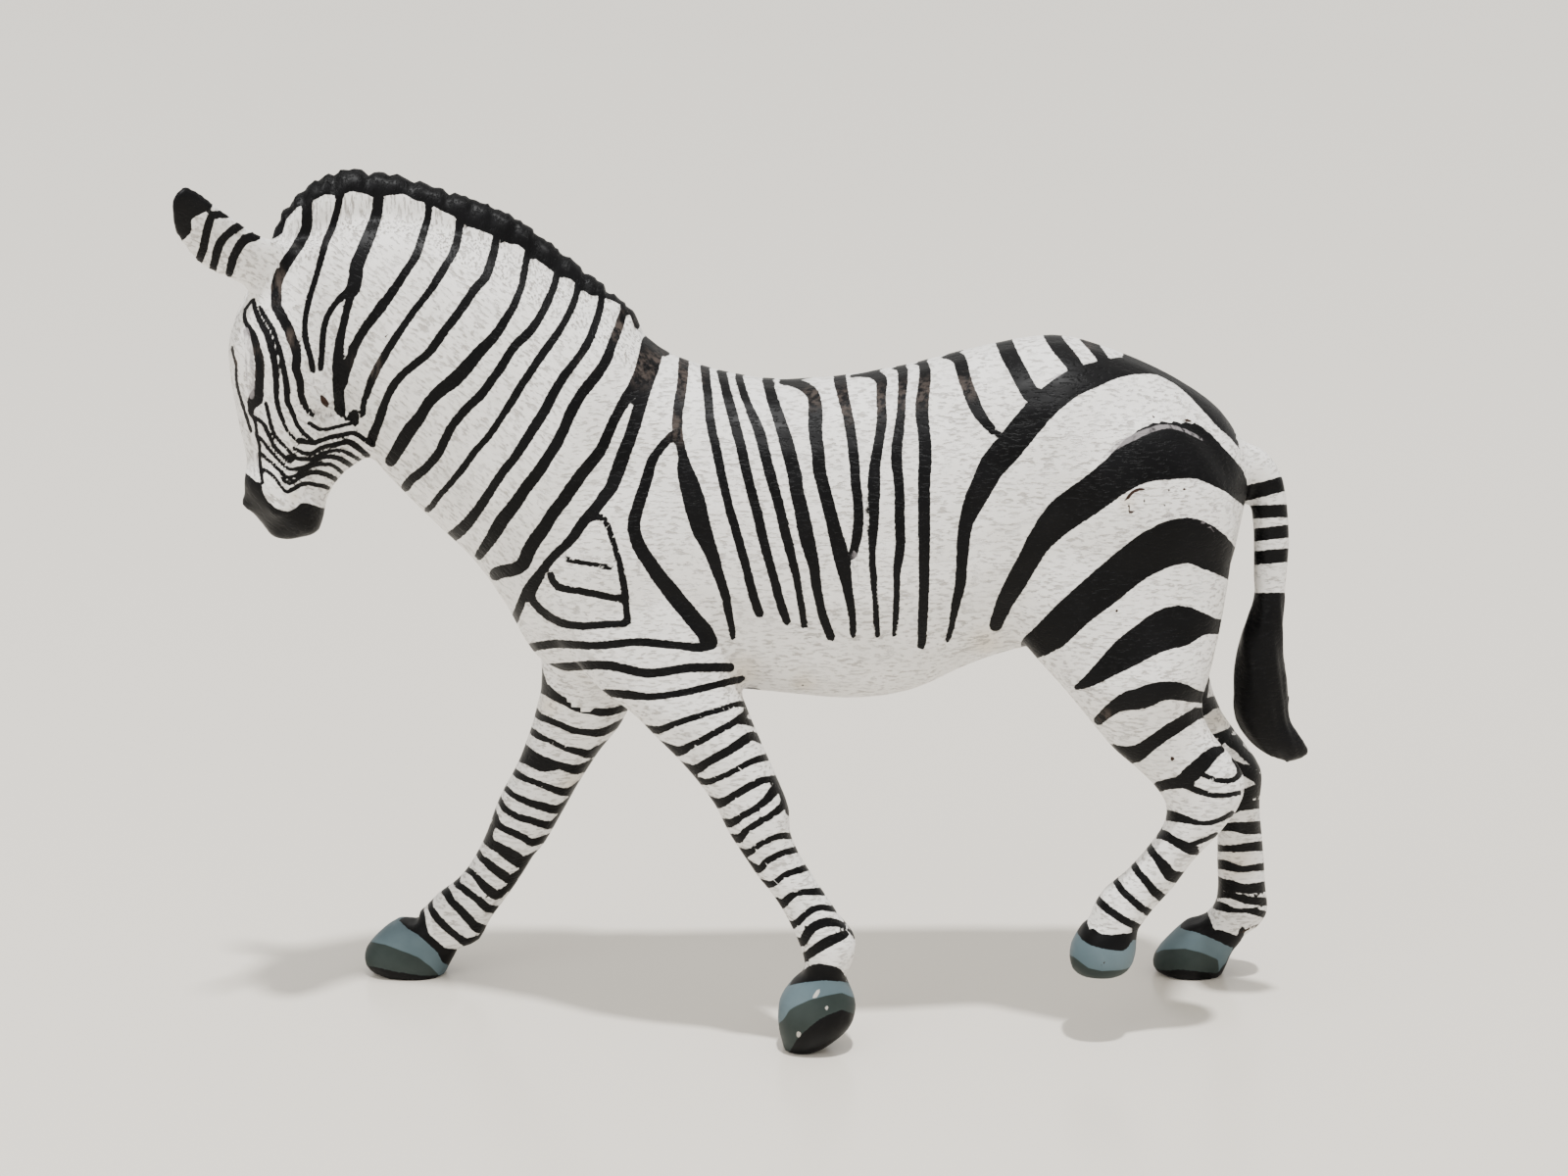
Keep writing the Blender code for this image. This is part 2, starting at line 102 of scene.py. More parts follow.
# The ears' middle lines, two ends each, and the tail's, as places along and up.
NEAR_EAR = ((-51.1 * MM, -5.9 * MM, 83.8 * MM), (-60.2 * MM, -16.5 * MM, 95.4 * MM))
FAR_EAR = ((-50.9 * MM, -1.9 * MM, 82.5 * MM), (-59.9 * MM, 0.0, 91.2 * MM))
EAR_RADIUS = 5.0 * MM
TAIL_RADIUS = 4.4 * MM
TAIL_LINE = [
    (53.5, 64.0), (54.8, 61.8), (55.5, 58.5), (55.8, 51.4), (55.7, 48.4), (55.0, 44.4), (54.8, 38.8),
    (55.3, 34.9), (57.4, 32.0), (59.7, 30.2),
]

# The middle plane of each leg: height and how far sideways it lies there.
LEG_PLANES = {
    "right_foreleg": [(0.0, 13.2), (5.0, 13.1), (12.0, 11.5), (18.0, 10.0), (30.0, 8.3), (44.0, 6.3)],
    "left_foreleg": [(0.0, -10.5), (15.0, -10.4), (30.0, -8.8), (40.0, -7.2)],
    "left_hindleg": [(7.0, -7.5), (34.0, -7.5), (45.0, -7.0)],
    "right_hindleg": [(0.0, 13.2), (5.0, 13.1), (11.0, 11.9), (22.0, 10.0), (34.0, 8.4), (45.0, 7.0)],
}

# Each leg's room, in millimetres: its end nearer the belly, and its top.
LEG_ROOMS = {
    "right_foreleg": (2.5, 41.8),
    "left_foreleg": (16.0, 41.0),
    "left_hindleg": (22.0, 44.0),
    "right_hindleg": (25.0, 40.0),
}
RIGHT_LEGS_FROM = 2.5 * MM
LEFT_LEGS_TO = 1.5 * MM

# The mane's hair in the photograph: radians a pixel, and how much it leans and each notch
# is shorter than it is wide. The tuft's hair: locks all round, and its twist, radians a metre.
HAIR_PITCH = 0.52
FINE_HAIR_PITCH = 0.93
HAIR_LEAN = 0.18
NOTCH_SHORTNESS = 0.35
TUFT_LOCKS = 9.0
TUFT_TWIST = 900.0

# The slanted edge of the neck's steeper fur: where it starts and ends, in pixels across at
# one height, and how far it moves across for each pixel down.
NECK_FUR = (560.0, 640.0)
NECK_FUR_LEVEL = 400.0
NECK_FUR_SLANT = 0.35

# The crest of the neck: where it starts to bend, and how far sideways it lies at its end.
CREST_FROM = 75.0 * MM
CREST_BEND_START = -40.6 * MM
CREST_BEND_END = -50.5 * MM
CREST_BEND = -2.8 * MM

# Stripes as brush strokes: points of the photograph, each with the stroke's width there.
NEAR_STRIPES = {
    "poll": [
        (313, 205, 9), (313, 232, 10), (307, 245, 10), (300, 257, 10), (292, 268, 10), (286, 279, 10),
        (282, 291, 10), (282, 303, 10), (282, 312, 9), (287, 322, 9), (293, 333, 9), (297, 343, 9),
        (301, 354, 9), (303, 364, 8), (302, 376, 8), (306, 388, 7), (307, 400, 6), (309, 409, 6),
        (312, 415, 5), (316, 421, 4), (320, 424, 3),
    ],
    "neck_1": [
        (347, 198, 6), (344, 215, 6), (339, 232, 6), (333, 245, 6), (329, 259, 6), (325, 274, 5),
        (321, 288, 5), (317, 300, 5), (314, 312, 5), (312, 323, 5), (311, 335, 5), (312, 347, 5),
        (315, 358, 5), (318, 370, 5), (319, 379, 5),
    ],
    "neck_2": [
        (386, 198, 9), (385, 215, 10), (380, 232, 11), (375, 244, 12), (370, 257, 12), (364, 271, 13),
        (363, 283, 13), (360, 296, 13),
    ],
    "neck_2_left": [
        (356, 299, 5), (352, 299, 5), (342, 310, 5), (334, 323, 5), (330, 337, 5), (329, 351, 5),
        (328, 364, 5), (327, 376, 5),
    ],
    "neck_2_right": [
        (358, 301, 6), (354, 316, 7), (350, 333, 7), (347, 347, 8), (345, 362, 9), (344, 376, 9),
        (345, 393, 10), (346, 408, 10), (347, 418, 10),
    ],
    "neck_2_tails": [(341, 422, 2), (346, 421, 4), (350, 425, 4), (356, 428, 2)],
    "neck_3": [
        (438, 208, 6), (436, 225, 6), (430, 245, 7), (424, 262, 7), (414, 277, 7), (405, 291, 8),
        (398, 301, 8), (388, 316, 8), (377, 329, 8), (368, 342, 8), (361, 355, 8), (357, 368, 8),
        (352, 382, 8), (351, 390, 8),
    ],
    "neck_3_branch": [(390, 305, 2), (381, 319, 3.5), (373, 331, 5)],
    "cheek_patch": [(361, 423, 9), (362, 427, 8), (363, 433, 4)],
    "neck_4": [
        (470, 220, 7), (467, 242, 7), (463, 257, 7), (456, 269, 7), (447, 284, 7), (437, 299, 6),
        (425, 314, 6), (410, 335, 6), (400, 350, 7), (391, 365, 7), (384, 378, 7), (378, 391, 7),
        (374, 403, 6), (371, 412, 5), (370, 422, 5),
    ],
    "neck_5": [
        (507, 240, 7), (505, 252, 7), (501, 268, 8), (495, 284, 8), (486, 293, 8), (477, 306, 8),
        (465, 323, 8), (453, 338, 8), (441, 356, 8), (432, 365, 7), (420, 374, 7), (408, 385, 7),
        (399, 397, 7), (393, 411, 7), (389, 422, 8), (386, 432, 8), (381, 443, 9), (379, 449, 9),
    ],
    "neck_6": [
        (539, 256, 6), (535, 278, 6), (531, 296, 6), (523, 314, 7), (514, 329, 8), (504, 344, 9),
        (489, 359, 11), (477, 374, 13), (462, 389, 13), (450, 398, 12), (438, 410, 10), (429, 425, 11),
        (417, 440, 13), (408, 455, 12), (399, 470, 11),
    ],
    "neck_7": [
        (568, 281, 6), (565, 293, 6), (560, 305, 7), (553, 320, 7), (541, 338, 8), (528, 350, 8),
        (519, 362, 8), (510, 377, 8), (500, 390, 8), (492, 402, 8), (480, 413, 8), (468, 426, 8),
        (458, 440, 8), (450, 458, 8), (444, 467, 8), (433, 479, 8), (420, 489, 8), (414, 497, 8),
    ],
    "neck_8": [
        (590, 290, 6), (587, 305, 6), (582, 317, 6), (574, 332, 6), (564, 347, 7), (553, 362, 7),
        (541, 380, 7), (531, 395, 7), (522, 410, 7), (510, 428, 6), (498, 446, 6), (486, 459, 6),
        (478, 470, 6), (469, 482, 6), (459, 494, 5), (448, 506, 5), (441, 516, 5), (436, 520, 5),
    ],
    "neck_9": [
        (614, 302, 6), (612, 317, 6), (606, 335, 7), (600, 350, 7), (588, 368, 7), (576, 383, 8),
        (565, 401, 9), (556, 419, 9), (546, 434, 9), (537, 449, 9), (525, 467, 8), (513, 482, 8),
        (501, 500, 8), (489, 518, 9), (480, 530, 10), (471, 540, 11), (462, 547, 11),
    ],
    "neck_10": [
        (638, 312, 7), (634, 326, 7), (630, 338, 8), (625, 350, 8), (621, 362, 9), (615, 374, 9),
        (606, 386, 10), (594, 401, 10), (585, 416, 10), (577, 434, 10), (570, 449, 10), (561, 464, 10),
        (549, 482, 11), (537, 497, 11), (525, 515, 12), (513, 530, 13), (504, 545, 12), (498, 554, 10),
        (489, 567, 8),
    ],
    "neck_11": [
        (660, 348, 9), (657, 362, 9), (652, 380, 9), (646, 395, 10), (637, 410, 10), (627, 428, 9),
        (619, 446, 10), (612, 461, 10), (600, 476, 11), (588, 491, 12), (576, 509, 12), (564, 524, 12),
        (555, 539, 12), (546, 551, 13), (539, 563, 13), (534, 575, 13), (525, 581, 12), (513, 583, 12),
        (506, 586, 12),
    ],
    "neck_12": [
        (669, 354, 16), (665, 374, 14), (659, 392, 13), (654, 410, 12), (649, 428, 12), (643, 446, 12),
        (636, 464, 13), (630, 482, 13), (624, 497, 12), (615, 509, 11), (606, 521, 10), (594, 534, 10),
        (585, 548, 9), (573, 560, 8), (561, 572, 8), (552, 584, 8), (544, 593, 8), (537, 603, 7),
        (530, 620, 7), (525, 633, 7),
    ],
    "withers_blot": [(660, 353, 9), (679, 359, 8)],
    "fork": [(698, 362, 9), (697, 383, 9), (695, 399, 9), (692, 418, 9), (691, 434, 9), (692, 445, 9)],
    "fork_left": [
        (692, 442, 7), (685, 445, 7), (671, 461, 8), (665, 471, 9), (661, 485, 10), (657, 498, 10.5),
        (652, 514, 11), (648, 527, 11.5), (647, 541, 12), (652, 557, 12.5), (660, 570, 13),
        (671, 586, 14), (681, 599, 15), (692, 613, 16), (703, 626, 16), (712, 637, 16), (719, 645, 16),
        (724, 655, 16),
    ],
    "fork_right": [
        (692, 446, 8), (694, 454, 8), (697, 466, 9), (699, 479, 15), (702, 490, 18), (706, 503, 20),
        (710, 517, 21), (713, 530, 19), (717, 543, 18), (723, 557, 14), (728, 570, 12), (732, 583, 10),
        (737, 597, 9), (741, 610, 8), (743, 623, 7), (746, 637, 6), (748, 650, 5),
    ],
    "shoulder_ring": [
        (600, 529, 5), (615, 528, 5), (622, 542, 5), (628, 560, 5), (633, 578, 6), (637, 600, 6),
        (639, 615, 6), (640, 630, 6), (640, 636, 6), (620, 637, 6), (594, 639, 7), (571, 635, 7),
        (551, 622, 7), (542, 607, 7), (551, 589, 7),
    ],
    "shoulder_bar_1": [(576, 570, 4), (588, 573, 4), (603, 576, 4), (622, 579, 4)],
    "shoulder_bar_2": [(562, 587, 6), (569, 599, 6), (592, 603, 6), (635, 612, 6)],
    "arm_1": [
        (541, 661, 8), (566, 657, 7.5), (602, 659, 7), (620, 658, 7), (652, 655, 7), (673, 657, 7),
        (695, 659, 7), (713, 661, 8), (726, 657, 8),
    ],
    "arm_2": [
        (561, 682, 8), (597, 679, 8), (620, 679, 8), (636, 682, 8), (652, 686, 8), (665, 687, 8),
        (681, 685, 8), (700, 682, 8), (721, 681, 8), (745, 681, 8),
    ],
    "arm_3": [
        (617, 707, 6), (641, 709, 8), (663, 711, 6), (684, 709, 6), (705, 705, 6), (727, 700, 6),
        (743, 696, 6), (757, 693, 6),
    ],
    "barrel_1": [
        (719, 370, 8), (720, 383, 8), (723, 410, 8), (724, 423, 8), (727, 442, 8), (731, 458, 8),
        (735, 479, 8), (740, 501, 8), (745, 522, 8), (751, 541, 8), (755, 557, 8), (759, 570, 8),
        (763, 586, 8), (767, 602, 8), (771, 615, 8), (775, 626, 8),
    ],
    "barrel_2": [
        (736, 378, 8), (741, 399, 8.5), (747, 421, 9), (751, 437, 9), (756, 455, 9), (760, 474, 9),
        (765, 495, 9), (771, 517, 9), (776, 538, 9), (781, 559, 8.5), (787, 581, 8), (792, 599, 8),
        (797, 618, 8), (803, 634, 7),
    ],
    "barrel_3": [
        (754, 385, 7), (759, 402, 7), (764, 415, 7), (771, 431, 9), (776, 445, 10), (780, 461, 10),
        (784, 477, 10), (789, 495, 10), (795, 517, 9), (800, 538, 9), (804, 554, 9), (808, 570, 8),
        (812, 586, 7), (815, 602, 6), (818, 621, 6), (821, 638, 6),
    ],
    "barrel_4": [
        (783, 388, 9), (788, 407, 10), (793, 421, 11), (798, 437, 12), (803, 453, 13), (807, 469, 13),
        (811, 485, 13), (813, 501, 13), (817, 517, 13), (820, 533, 14), (824, 551, 14), (828, 567, 12),
        (831, 581, 10), (833, 597, 9), (836, 613, 8), (839, 626, 8), (843, 638, 8), (848, 650, 8),
    ],
    "barrel_5": [
        (797, 390, 4), (807, 390, 7), (817, 393, 9), (827, 399, 11), (831, 407, 12), (832, 421, 13),
        (832, 437, 13), (833, 450, 12), (835, 463, 12), (836, 479, 12), (840, 495, 12), (844, 511, 12),
        (848, 527, 12), (852, 543, 13), (856, 559, 14), (860, 575, 14), (863, 591, 11), (866, 607, 8),
        (869, 623, 7), (870, 637, 6), (871, 648, 5),
    ],
    "barrel_6": [
        (857, 387, 12), (861, 407, 10), (865, 423, 9), (868, 439, 9), (870, 455, 9), (872, 474, 9),
        (873, 490, 9), (875, 509, 9), (876, 527, 9), (875, 543, 9), (872, 559, 8), (870, 566, 8),
    ],
    "barrel_7": [
        (868, 383, 3), (879, 381, 6), (889, 381, 8), (897, 385, 10), (900, 391, 10), (899, 405, 8),
        (900, 421, 9), (899, 437, 9), (896, 455, 9), (893, 474, 10), (892, 490, 11), (892, 511, 10),
        (892, 527, 9), (891, 543, 8), (890, 565, 6), (891, 586, 6), (893, 607, 5), (894, 629, 5),
        (895, 648, 5),
    ],
    "barrel_8": [
        (908, 374, 3), (916, 374, 7), (921, 378, 9), (921, 394, 8), (920, 410, 7), (919, 426, 8),
        (917, 442, 9), (915, 458, 10), (915, 474, 10), (917, 490, 9), (918, 511, 9), (918, 533, 9),
        (919, 554, 9), (917, 570, 8), (915, 586, 6), (915, 607, 5), (914, 629, 5), (913, 649, 4),
    ],
    "barrel_9": [
        (929, 370, 3), (940, 369, 7), (944, 378, 10), (943, 394, 11), (941, 410, 12), (941, 426, 12),
        (943, 442, 11), (944, 458, 12), (944, 474, 12), (943, 490, 11), (943, 517, 11), (943, 543, 11),
        (943, 570, 10), (943, 597, 9), (942, 623, 9), (941, 650, 8), (940, 659, 7),
    ],
    "loin": [
        (957, 363, 2), (969, 363, 7), (979, 367, 12), (983, 381, 12), (987, 394, 11), (992, 407, 12),
        (997, 418, 11), (1004, 429, 9), (1011, 437, 8), (1015, 442, 6),
    ],
    "croup_1": [
        (1024, 348, 16), (1030, 362, 16), (1036, 373, 16), (1041, 383, 16), (1047, 394, 16),
        (1052, 402, 16), (1056, 407, 14),
    ],
    "croup_2": [(1072, 340, 15), (1080, 353, 15), (1088, 362, 15), (1095, 371, 15), (1097, 376, 14)],
    "croup_3": [(1106, 343, 10), (1115, 353, 10), (1121, 360, 10), (1126, 368, 10)],
    "flank": [
        (967, 653, 4), (971, 639, 5), (974, 623, 7), (976, 613, 8), (980, 597, 10), (981, 581, 10),
        (982, 565, 11), (984, 543, 12), (988, 527, 15), (994, 512, 20), (1005, 490, 23),
        (1013, 475, 26), (1027, 459, 28), (1040, 443, 28), (1053, 427, 28), (1067, 412, 27),
        (1080, 401, 27), (1093, 392, 26), (1107, 386, 25), (1120, 381, 23), (1133, 377, 20),
        (1147, 374, 18), (1165, 374, 14), (1181, 377, 9), (1192, 381, 11), (1201, 386, 11),
        (1213, 395, 11), (1227, 407, 14), (1240, 420, 16), (1252, 432, 17), (1262, 442, 15),
        (1269, 451, 14), (1276, 461, 13), (1282, 470, 10),
    ],
    "croup_blot": [(1152, 362, 11), (1162, 363, 11)],
    "thigh_1": [
        (1016, 638, 12), (1025, 615, 16), (1039, 590, 20), (1052, 567, 21), (1063, 549, 25),
        (1084, 526, 34), (1112, 506, 36), (1139, 486, 38), (1164, 468, 49), (1190, 459, 60),
        (1209, 459, 57), (1229, 468, 43), (1247, 481, 34), (1257, 489, 27), (1266, 498, 24),
        (1276, 508, 20),
    ],
    "thigh_2": [
        (1055, 659, 25), (1074, 646, 33), (1099, 622, 34), (1126, 600, 37), (1155, 576, 38),
        (1179, 561, 42), (1203, 552, 45), (1220, 553, 44), (1235, 561, 41), (1249, 571, 32),
        (1258, 579, 26), (1268, 587, 22),
    ],
    "thigh_3": [
        (1099, 701, 5), (1114, 693, 13), (1132, 679, 22), (1148, 667, 30), (1171, 652, 35),
        (1187, 643, 40), (1203, 639, 41), (1216, 637, 30), (1228, 637, 20), (1238, 639, 15),
        (1250, 640, 13),
    ],
}

NEAR_LEG_STRIPES = {
    "foreleg_13": [
        (803, 957, 6), (813, 960, 6), (819, 962, 6), (824, 952, 8), (832, 945, 8), (843, 941, 8),
        (853, 942, 6), (861, 944, 4),
    ],
    "foreleg_14": [
        (812, 983, 7), (821, 977, 7), (832, 969, 8), (845, 961, 9), (857, 956, 8), (863, 953, 5),
    ],
    "gaskin_1": [
        (1121, 735, 8), (1130, 727, 10), (1141, 719, 13), (1152, 715, 18), (1163, 713, 20),
        (1174, 709, 20), (1186, 705, 17), (1198, 705, 17), (1209, 707, 15), (1218, 710, 12),
        (1230, 712, 9),
    ],
    "gaskin_2": [
        (1135, 763, 6), (1142, 767, 10), (1150, 770, 15), (1160, 769, 16), (1169, 763, 13),
        (1180, 755, 12), (1190, 748, 12), (1201, 741, 12), (1212, 734, 11), (1222, 728, 10),
        (1228, 728, 8),
    ],
    "gaskin_3": [
        (1182, 803, 9), (1192, 800, 9), (1205, 798, 11), (1213, 792, 15), (1222, 784, 15),
        (1231, 775, 13), (1239, 768, 10), (1246, 765, 6),
    ],
    "hock_arc": [
        (1228, 790, 2), (1235, 794, 3), (1243, 796, 3.5), (1253, 797, 4), (1260, 795, 4),
        (1265, 789, 4), (1264, 783, 3), (1258, 775, 2),
    ],
    "hock_1": [
        (1209, 801, 5), (1220, 806, 4.5), (1231, 810, 4), (1243, 812, 4), (1256, 811, 3.5),
        (1265, 809, 3),
    ],
    "hock_2": [
        (1192, 832, 9), (1201, 834, 8), (1209, 836, 6), (1220, 839, 4), (1231, 840, 3), (1241, 838, 3),
        (1252, 833, 3), (1257, 830, 4),
    ],
    "hock_3": [
        (1181, 852, 6), (1188, 852, 8), (1196, 857, 7), (1205, 862, 8), (1213, 866, 9), (1220, 869, 6),
    ],
    "hock_3_line": [(1218, 861, 3), (1231, 856, 3), (1241, 851, 2.5)],
    "foreleg_11": [(792, 920, 7), (798, 923, 7), (805, 916, 6), (812, 912, 4)],
    "foreleg_11_front": [(816, 911, 4), (824, 910, 5), (840, 910, 6)],
    "foreleg_2_branch": [(751, 736, 4), (761, 736, 5), (769, 739, 4)],
    "foreleg_7_edge": [(802, 816, 4), (804, 824, 3), (804, 831, 2)],
    # Painted shade: a thin dark line behind the left fore's fetlock, at its outline.
    "fetlock_shade_line": [(866, 949, 2), (870, 952, 2), (873, 957, 2)],
}

# Rings that run round a leg.
NEAR_RINGS = {
    "shin_1": [
        (1174, 867, 6), (1179, 874, 6), (1186, 882, 9), (1192, 890, 11), (1198, 895, 10),
        (1205, 894, 5),
    ],
    "shin_2": [(1157, 883, 5), (1162, 891, 5.5), (1171, 901, 6), (1178, 910, 7), (1186, 916, 7)],
    "shin_3": [(1140, 901, 4), (1145, 909, 5), (1154, 917, 5.5), (1164, 926, 6), (1174, 932, 6.5)],
    "shin_4": [(1119, 917, 5), (1128, 926, 6), (1139, 934, 6), (1150, 941, 6), (1161, 946, 5)],
    "foreleg_1": [
        (664, 744, 6), (672, 745, 6), (685, 740, 5), (699, 735, 4.5), (712, 731, 4.5), (725, 727, 4),
        (739, 723, 4), (755, 718, 4), (762, 720, 4),
    ],
    "foreleg_2": [
        (683, 763, 5), (692, 767, 8), (704, 761, 5.5), (717, 755, 5), (731, 747, 5), (744, 740, 5),
        (755, 733, 5), (761, 727, 3),
    ],
    "foreleg_3": [
        (701, 783, 5), (708, 786, 8), (720, 779, 7), (733, 772, 7), (747, 764, 7), (760, 755, 8),
        (768, 751, 7), (774, 754, 5),
    ],
    "foreleg_4": [
        (712, 796, 5), (720, 798, 5), (731, 795, 4), (741, 791, 4), (752, 785, 4), (763, 779, 4),
        (773, 775, 5), (781, 773, 6),
    ],
    "foreleg_5": [
        (724, 816, 6), (732, 820, 8), (744, 815, 6), (757, 807, 6), (768, 801, 6), (779, 796, 5),
        (789, 795, 5),
    ],
    "foreleg_6": [
        (738, 839, 6), (745, 840, 7), (757, 833, 5), (771, 825, 5), (781, 817, 6), (788, 809, 8),
        (793, 802, 6),
    ],
    "foreleg_7": [
        (749, 855, 6), (754, 856, 7), (760, 849, 5), (773, 840, 5), (787, 832, 5), (797, 824, 6),
        (801, 818, 6), (799, 812, 5),
    ],
    "foreleg_8": [
        (756, 869, 6), (762, 871, 6), (773, 863, 4), (787, 856, 4), (797, 853, 4.5), (808, 853, 5),
    ],
    "foreleg_9": [
        (769, 884, 6), (774, 887, 6), (781, 880, 5), (789, 875, 4.5), (800, 870, 4.5), (813, 867, 5),
    ],
    "foreleg_10": [(780, 901, 5), (786, 903, 5), (795, 897, 4), (805, 891, 4.5), (822, 886, 5)],
    "foreleg_12": [
        (803, 942, 6), (809, 944, 6), (819, 936, 5), (829, 928, 5), (840, 926, 4.5), (852, 928, 4),
    ],
}

FACE_STRIPES = {
    "blaze_edge": [
        (258, 306, 2), (250, 316, 3), (250, 327, 4), (254, 335, 6), (259, 344, 7), (262, 356, 8),
        (265, 370, 9), (265, 384, 9), (264, 399, 9),
    ],
    "blaze_mass": [(263, 400, 11), (261, 407, 15), (257, 413, 9), (256, 422, 5)],
    "blaze_branch": [
        (271, 411, 3.5), (274, 422, 3.5), (276, 432, 3.5), (279, 441, 3.5), (282, 446, 3.5),
        (287, 452, 3.5), (292, 457, 3.5), (297, 463, 3.5), (301, 465, 3.5),
    ],
    "nose_1": [
        (260, 426, 3.5), (266, 430, 3.5), (270, 434, 3.5), (273, 441, 3.5), (276, 447, 3.5),
        (279, 454, 3.5), (283, 459, 3.5), (289, 465, 3.5), (294, 470, 3.5), (298, 471, 3.5),
    ],
    "middle_line": [
        (258, 425, 2.8), (261, 433, 2.8), (262, 444, 2.8), (265, 455, 2.8), (265, 466, 2.8),
        (266, 477, 2.8), (267, 486, 2.8), (268, 493, 2.8),
    ],
    "far_line": [
        (237, 354, 2.5), (238, 362, 2.5), (241, 372, 2.5), (241, 385, 2.5), (243, 398, 2.5),
        (245, 405, 2.5), (256, 440, 2.5),
    ],
    "cheek_1": [
        (259, 306, 3), (260, 314, 4), (263, 323, 5), (268, 333, 6), (273, 342, 6), (276, 352, 7),
        (279, 364, 7), (281, 377, 6), (282, 393, 6), (282, 405, 5), (283, 411, 5), (285, 420, 4),
        (288, 427, 4), (291, 435, 3), (295, 442, 3), (301, 448, 2.5), (305, 452, 2.5),
    ],
    "cheek_2": [
        (265, 313, 3), (269, 321, 4), (274, 329, 4), (279, 337, 4), (282, 347, 4), (285, 356, 5),
        (288, 368, 5), (290, 379, 6), (292, 391, 6), (293, 403, 6), (293, 409, 5), (297, 418, 5),
        (300, 425, 5), (303, 433, 4), (308, 440, 4), (312, 444, 3.5), (319, 449, 3),
    ],
    "jaw_1": [
        (315, 432, 3.5), (321, 435, 3.5), (326, 438, 3.5), (334, 438, 3.5), (342, 436, 3.5),
        (350, 434, 3.5), (358, 432, 3.5), (363, 432, 3.5),
    ],
    "jaw_2": [
        (305, 449, 4.5), (312, 451, 4.5), (320, 452, 4.5), (326, 450, 4.5), (334, 447, 4.5),
        (341, 445, 4.5), (349, 444, 4.5), (357, 442, 4.5), (364, 443, 4.5), (370, 447, 4.5),
        (377, 452, 4.5), (381, 454, 4.5),
    ],
    "jaw_3": [
        (300, 457, 3), (305, 460, 3.5), (312, 463, 4), (320, 462, 4), (326, 458, 4), (334, 455, 4),
        (342, 454, 5), (349, 452, 5), (356, 451, 6), (363, 455, 6), (369, 460, 5), (375, 465, 5),
    ],
    "jaw_4": [
        (294, 466, 3.5), (301, 467, 3.5), (310, 469, 3.5), (319, 468, 3.5), (325, 465, 3.5),
        (331, 462, 3.5), (339, 460, 3.5), (349, 460, 3.5), (356, 463, 3.5), (363, 467, 3.5),
        (369, 471, 3.5),
    ],
    "jaw_5": [
        (288, 473, 3), (292, 477, 3), (299, 479, 3.5), (306, 478, 4), (315, 475, 4), (322, 470, 4),
        (328, 467, 4), (336, 466, 4), (344, 467, 5), (350, 470, 5), (358, 475, 5),
    ],
    "jaw_6": [
        (287, 482, 3.5), (292, 487, 3.5), (297, 487, 3.5), (303, 485, 3.5), (310, 480, 3.5),
        (316, 477, 3.5), (323, 474, 3.5), (331, 474, 3.5), (337, 474, 3.5), (344, 478, 3.5),
        (349, 482, 3.5),
    ],
    "jaw_7": [
        (288, 488, 3), (293, 493, 3), (299, 492, 3.5), (305, 488, 4), (312, 484, 4), (319, 482, 4),
        (325, 482, 4.5), (332, 484, 5), (337, 486, 5), (342, 489, 5),
    ],
    "jaw_8": [
        (294, 502, 4), (301, 498, 4), (306, 495, 4), (314, 493, 4), (323, 495, 4), (330, 496, 4),
        (335, 498, 4),
    ],
    "nose_2": [
        (264, 446, 2.8), (269, 451, 2.8), (273, 457, 2.8), (279, 464, 2.8), (284, 469, 2.8),
        (289, 474, 2.8), (293, 478, 2.8),
    ],
    "nose_3": [(266, 462, 2.8), (271, 467, 2.8), (278, 473, 2.8), (283, 478, 2.8), (288, 482, 2.8)],
    "nose_4": [
        (268, 479, 3), (273, 481, 3), (279, 486, 3), (283, 491, 3), (287, 497, 3), (291, 501, 3),
    ],
}

EAR_STRIPES = {
    "ear_1_top": [(217, 219, 8), (225, 219, 8), (233, 219, 7)],
    "ear_1": [(215, 222, 9), (211, 236, 9), (207, 255, 9), (202, 268, 8)],
    "ear_2": [(246, 229, 9), (236, 236, 9), (225, 247, 9), (221, 259, 9), (217, 275, 8)],
    "ear_3": [(261, 241, 10), (249, 245, 10), (242, 255, 10), (237, 266, 9), (234, 279, 8)],
}

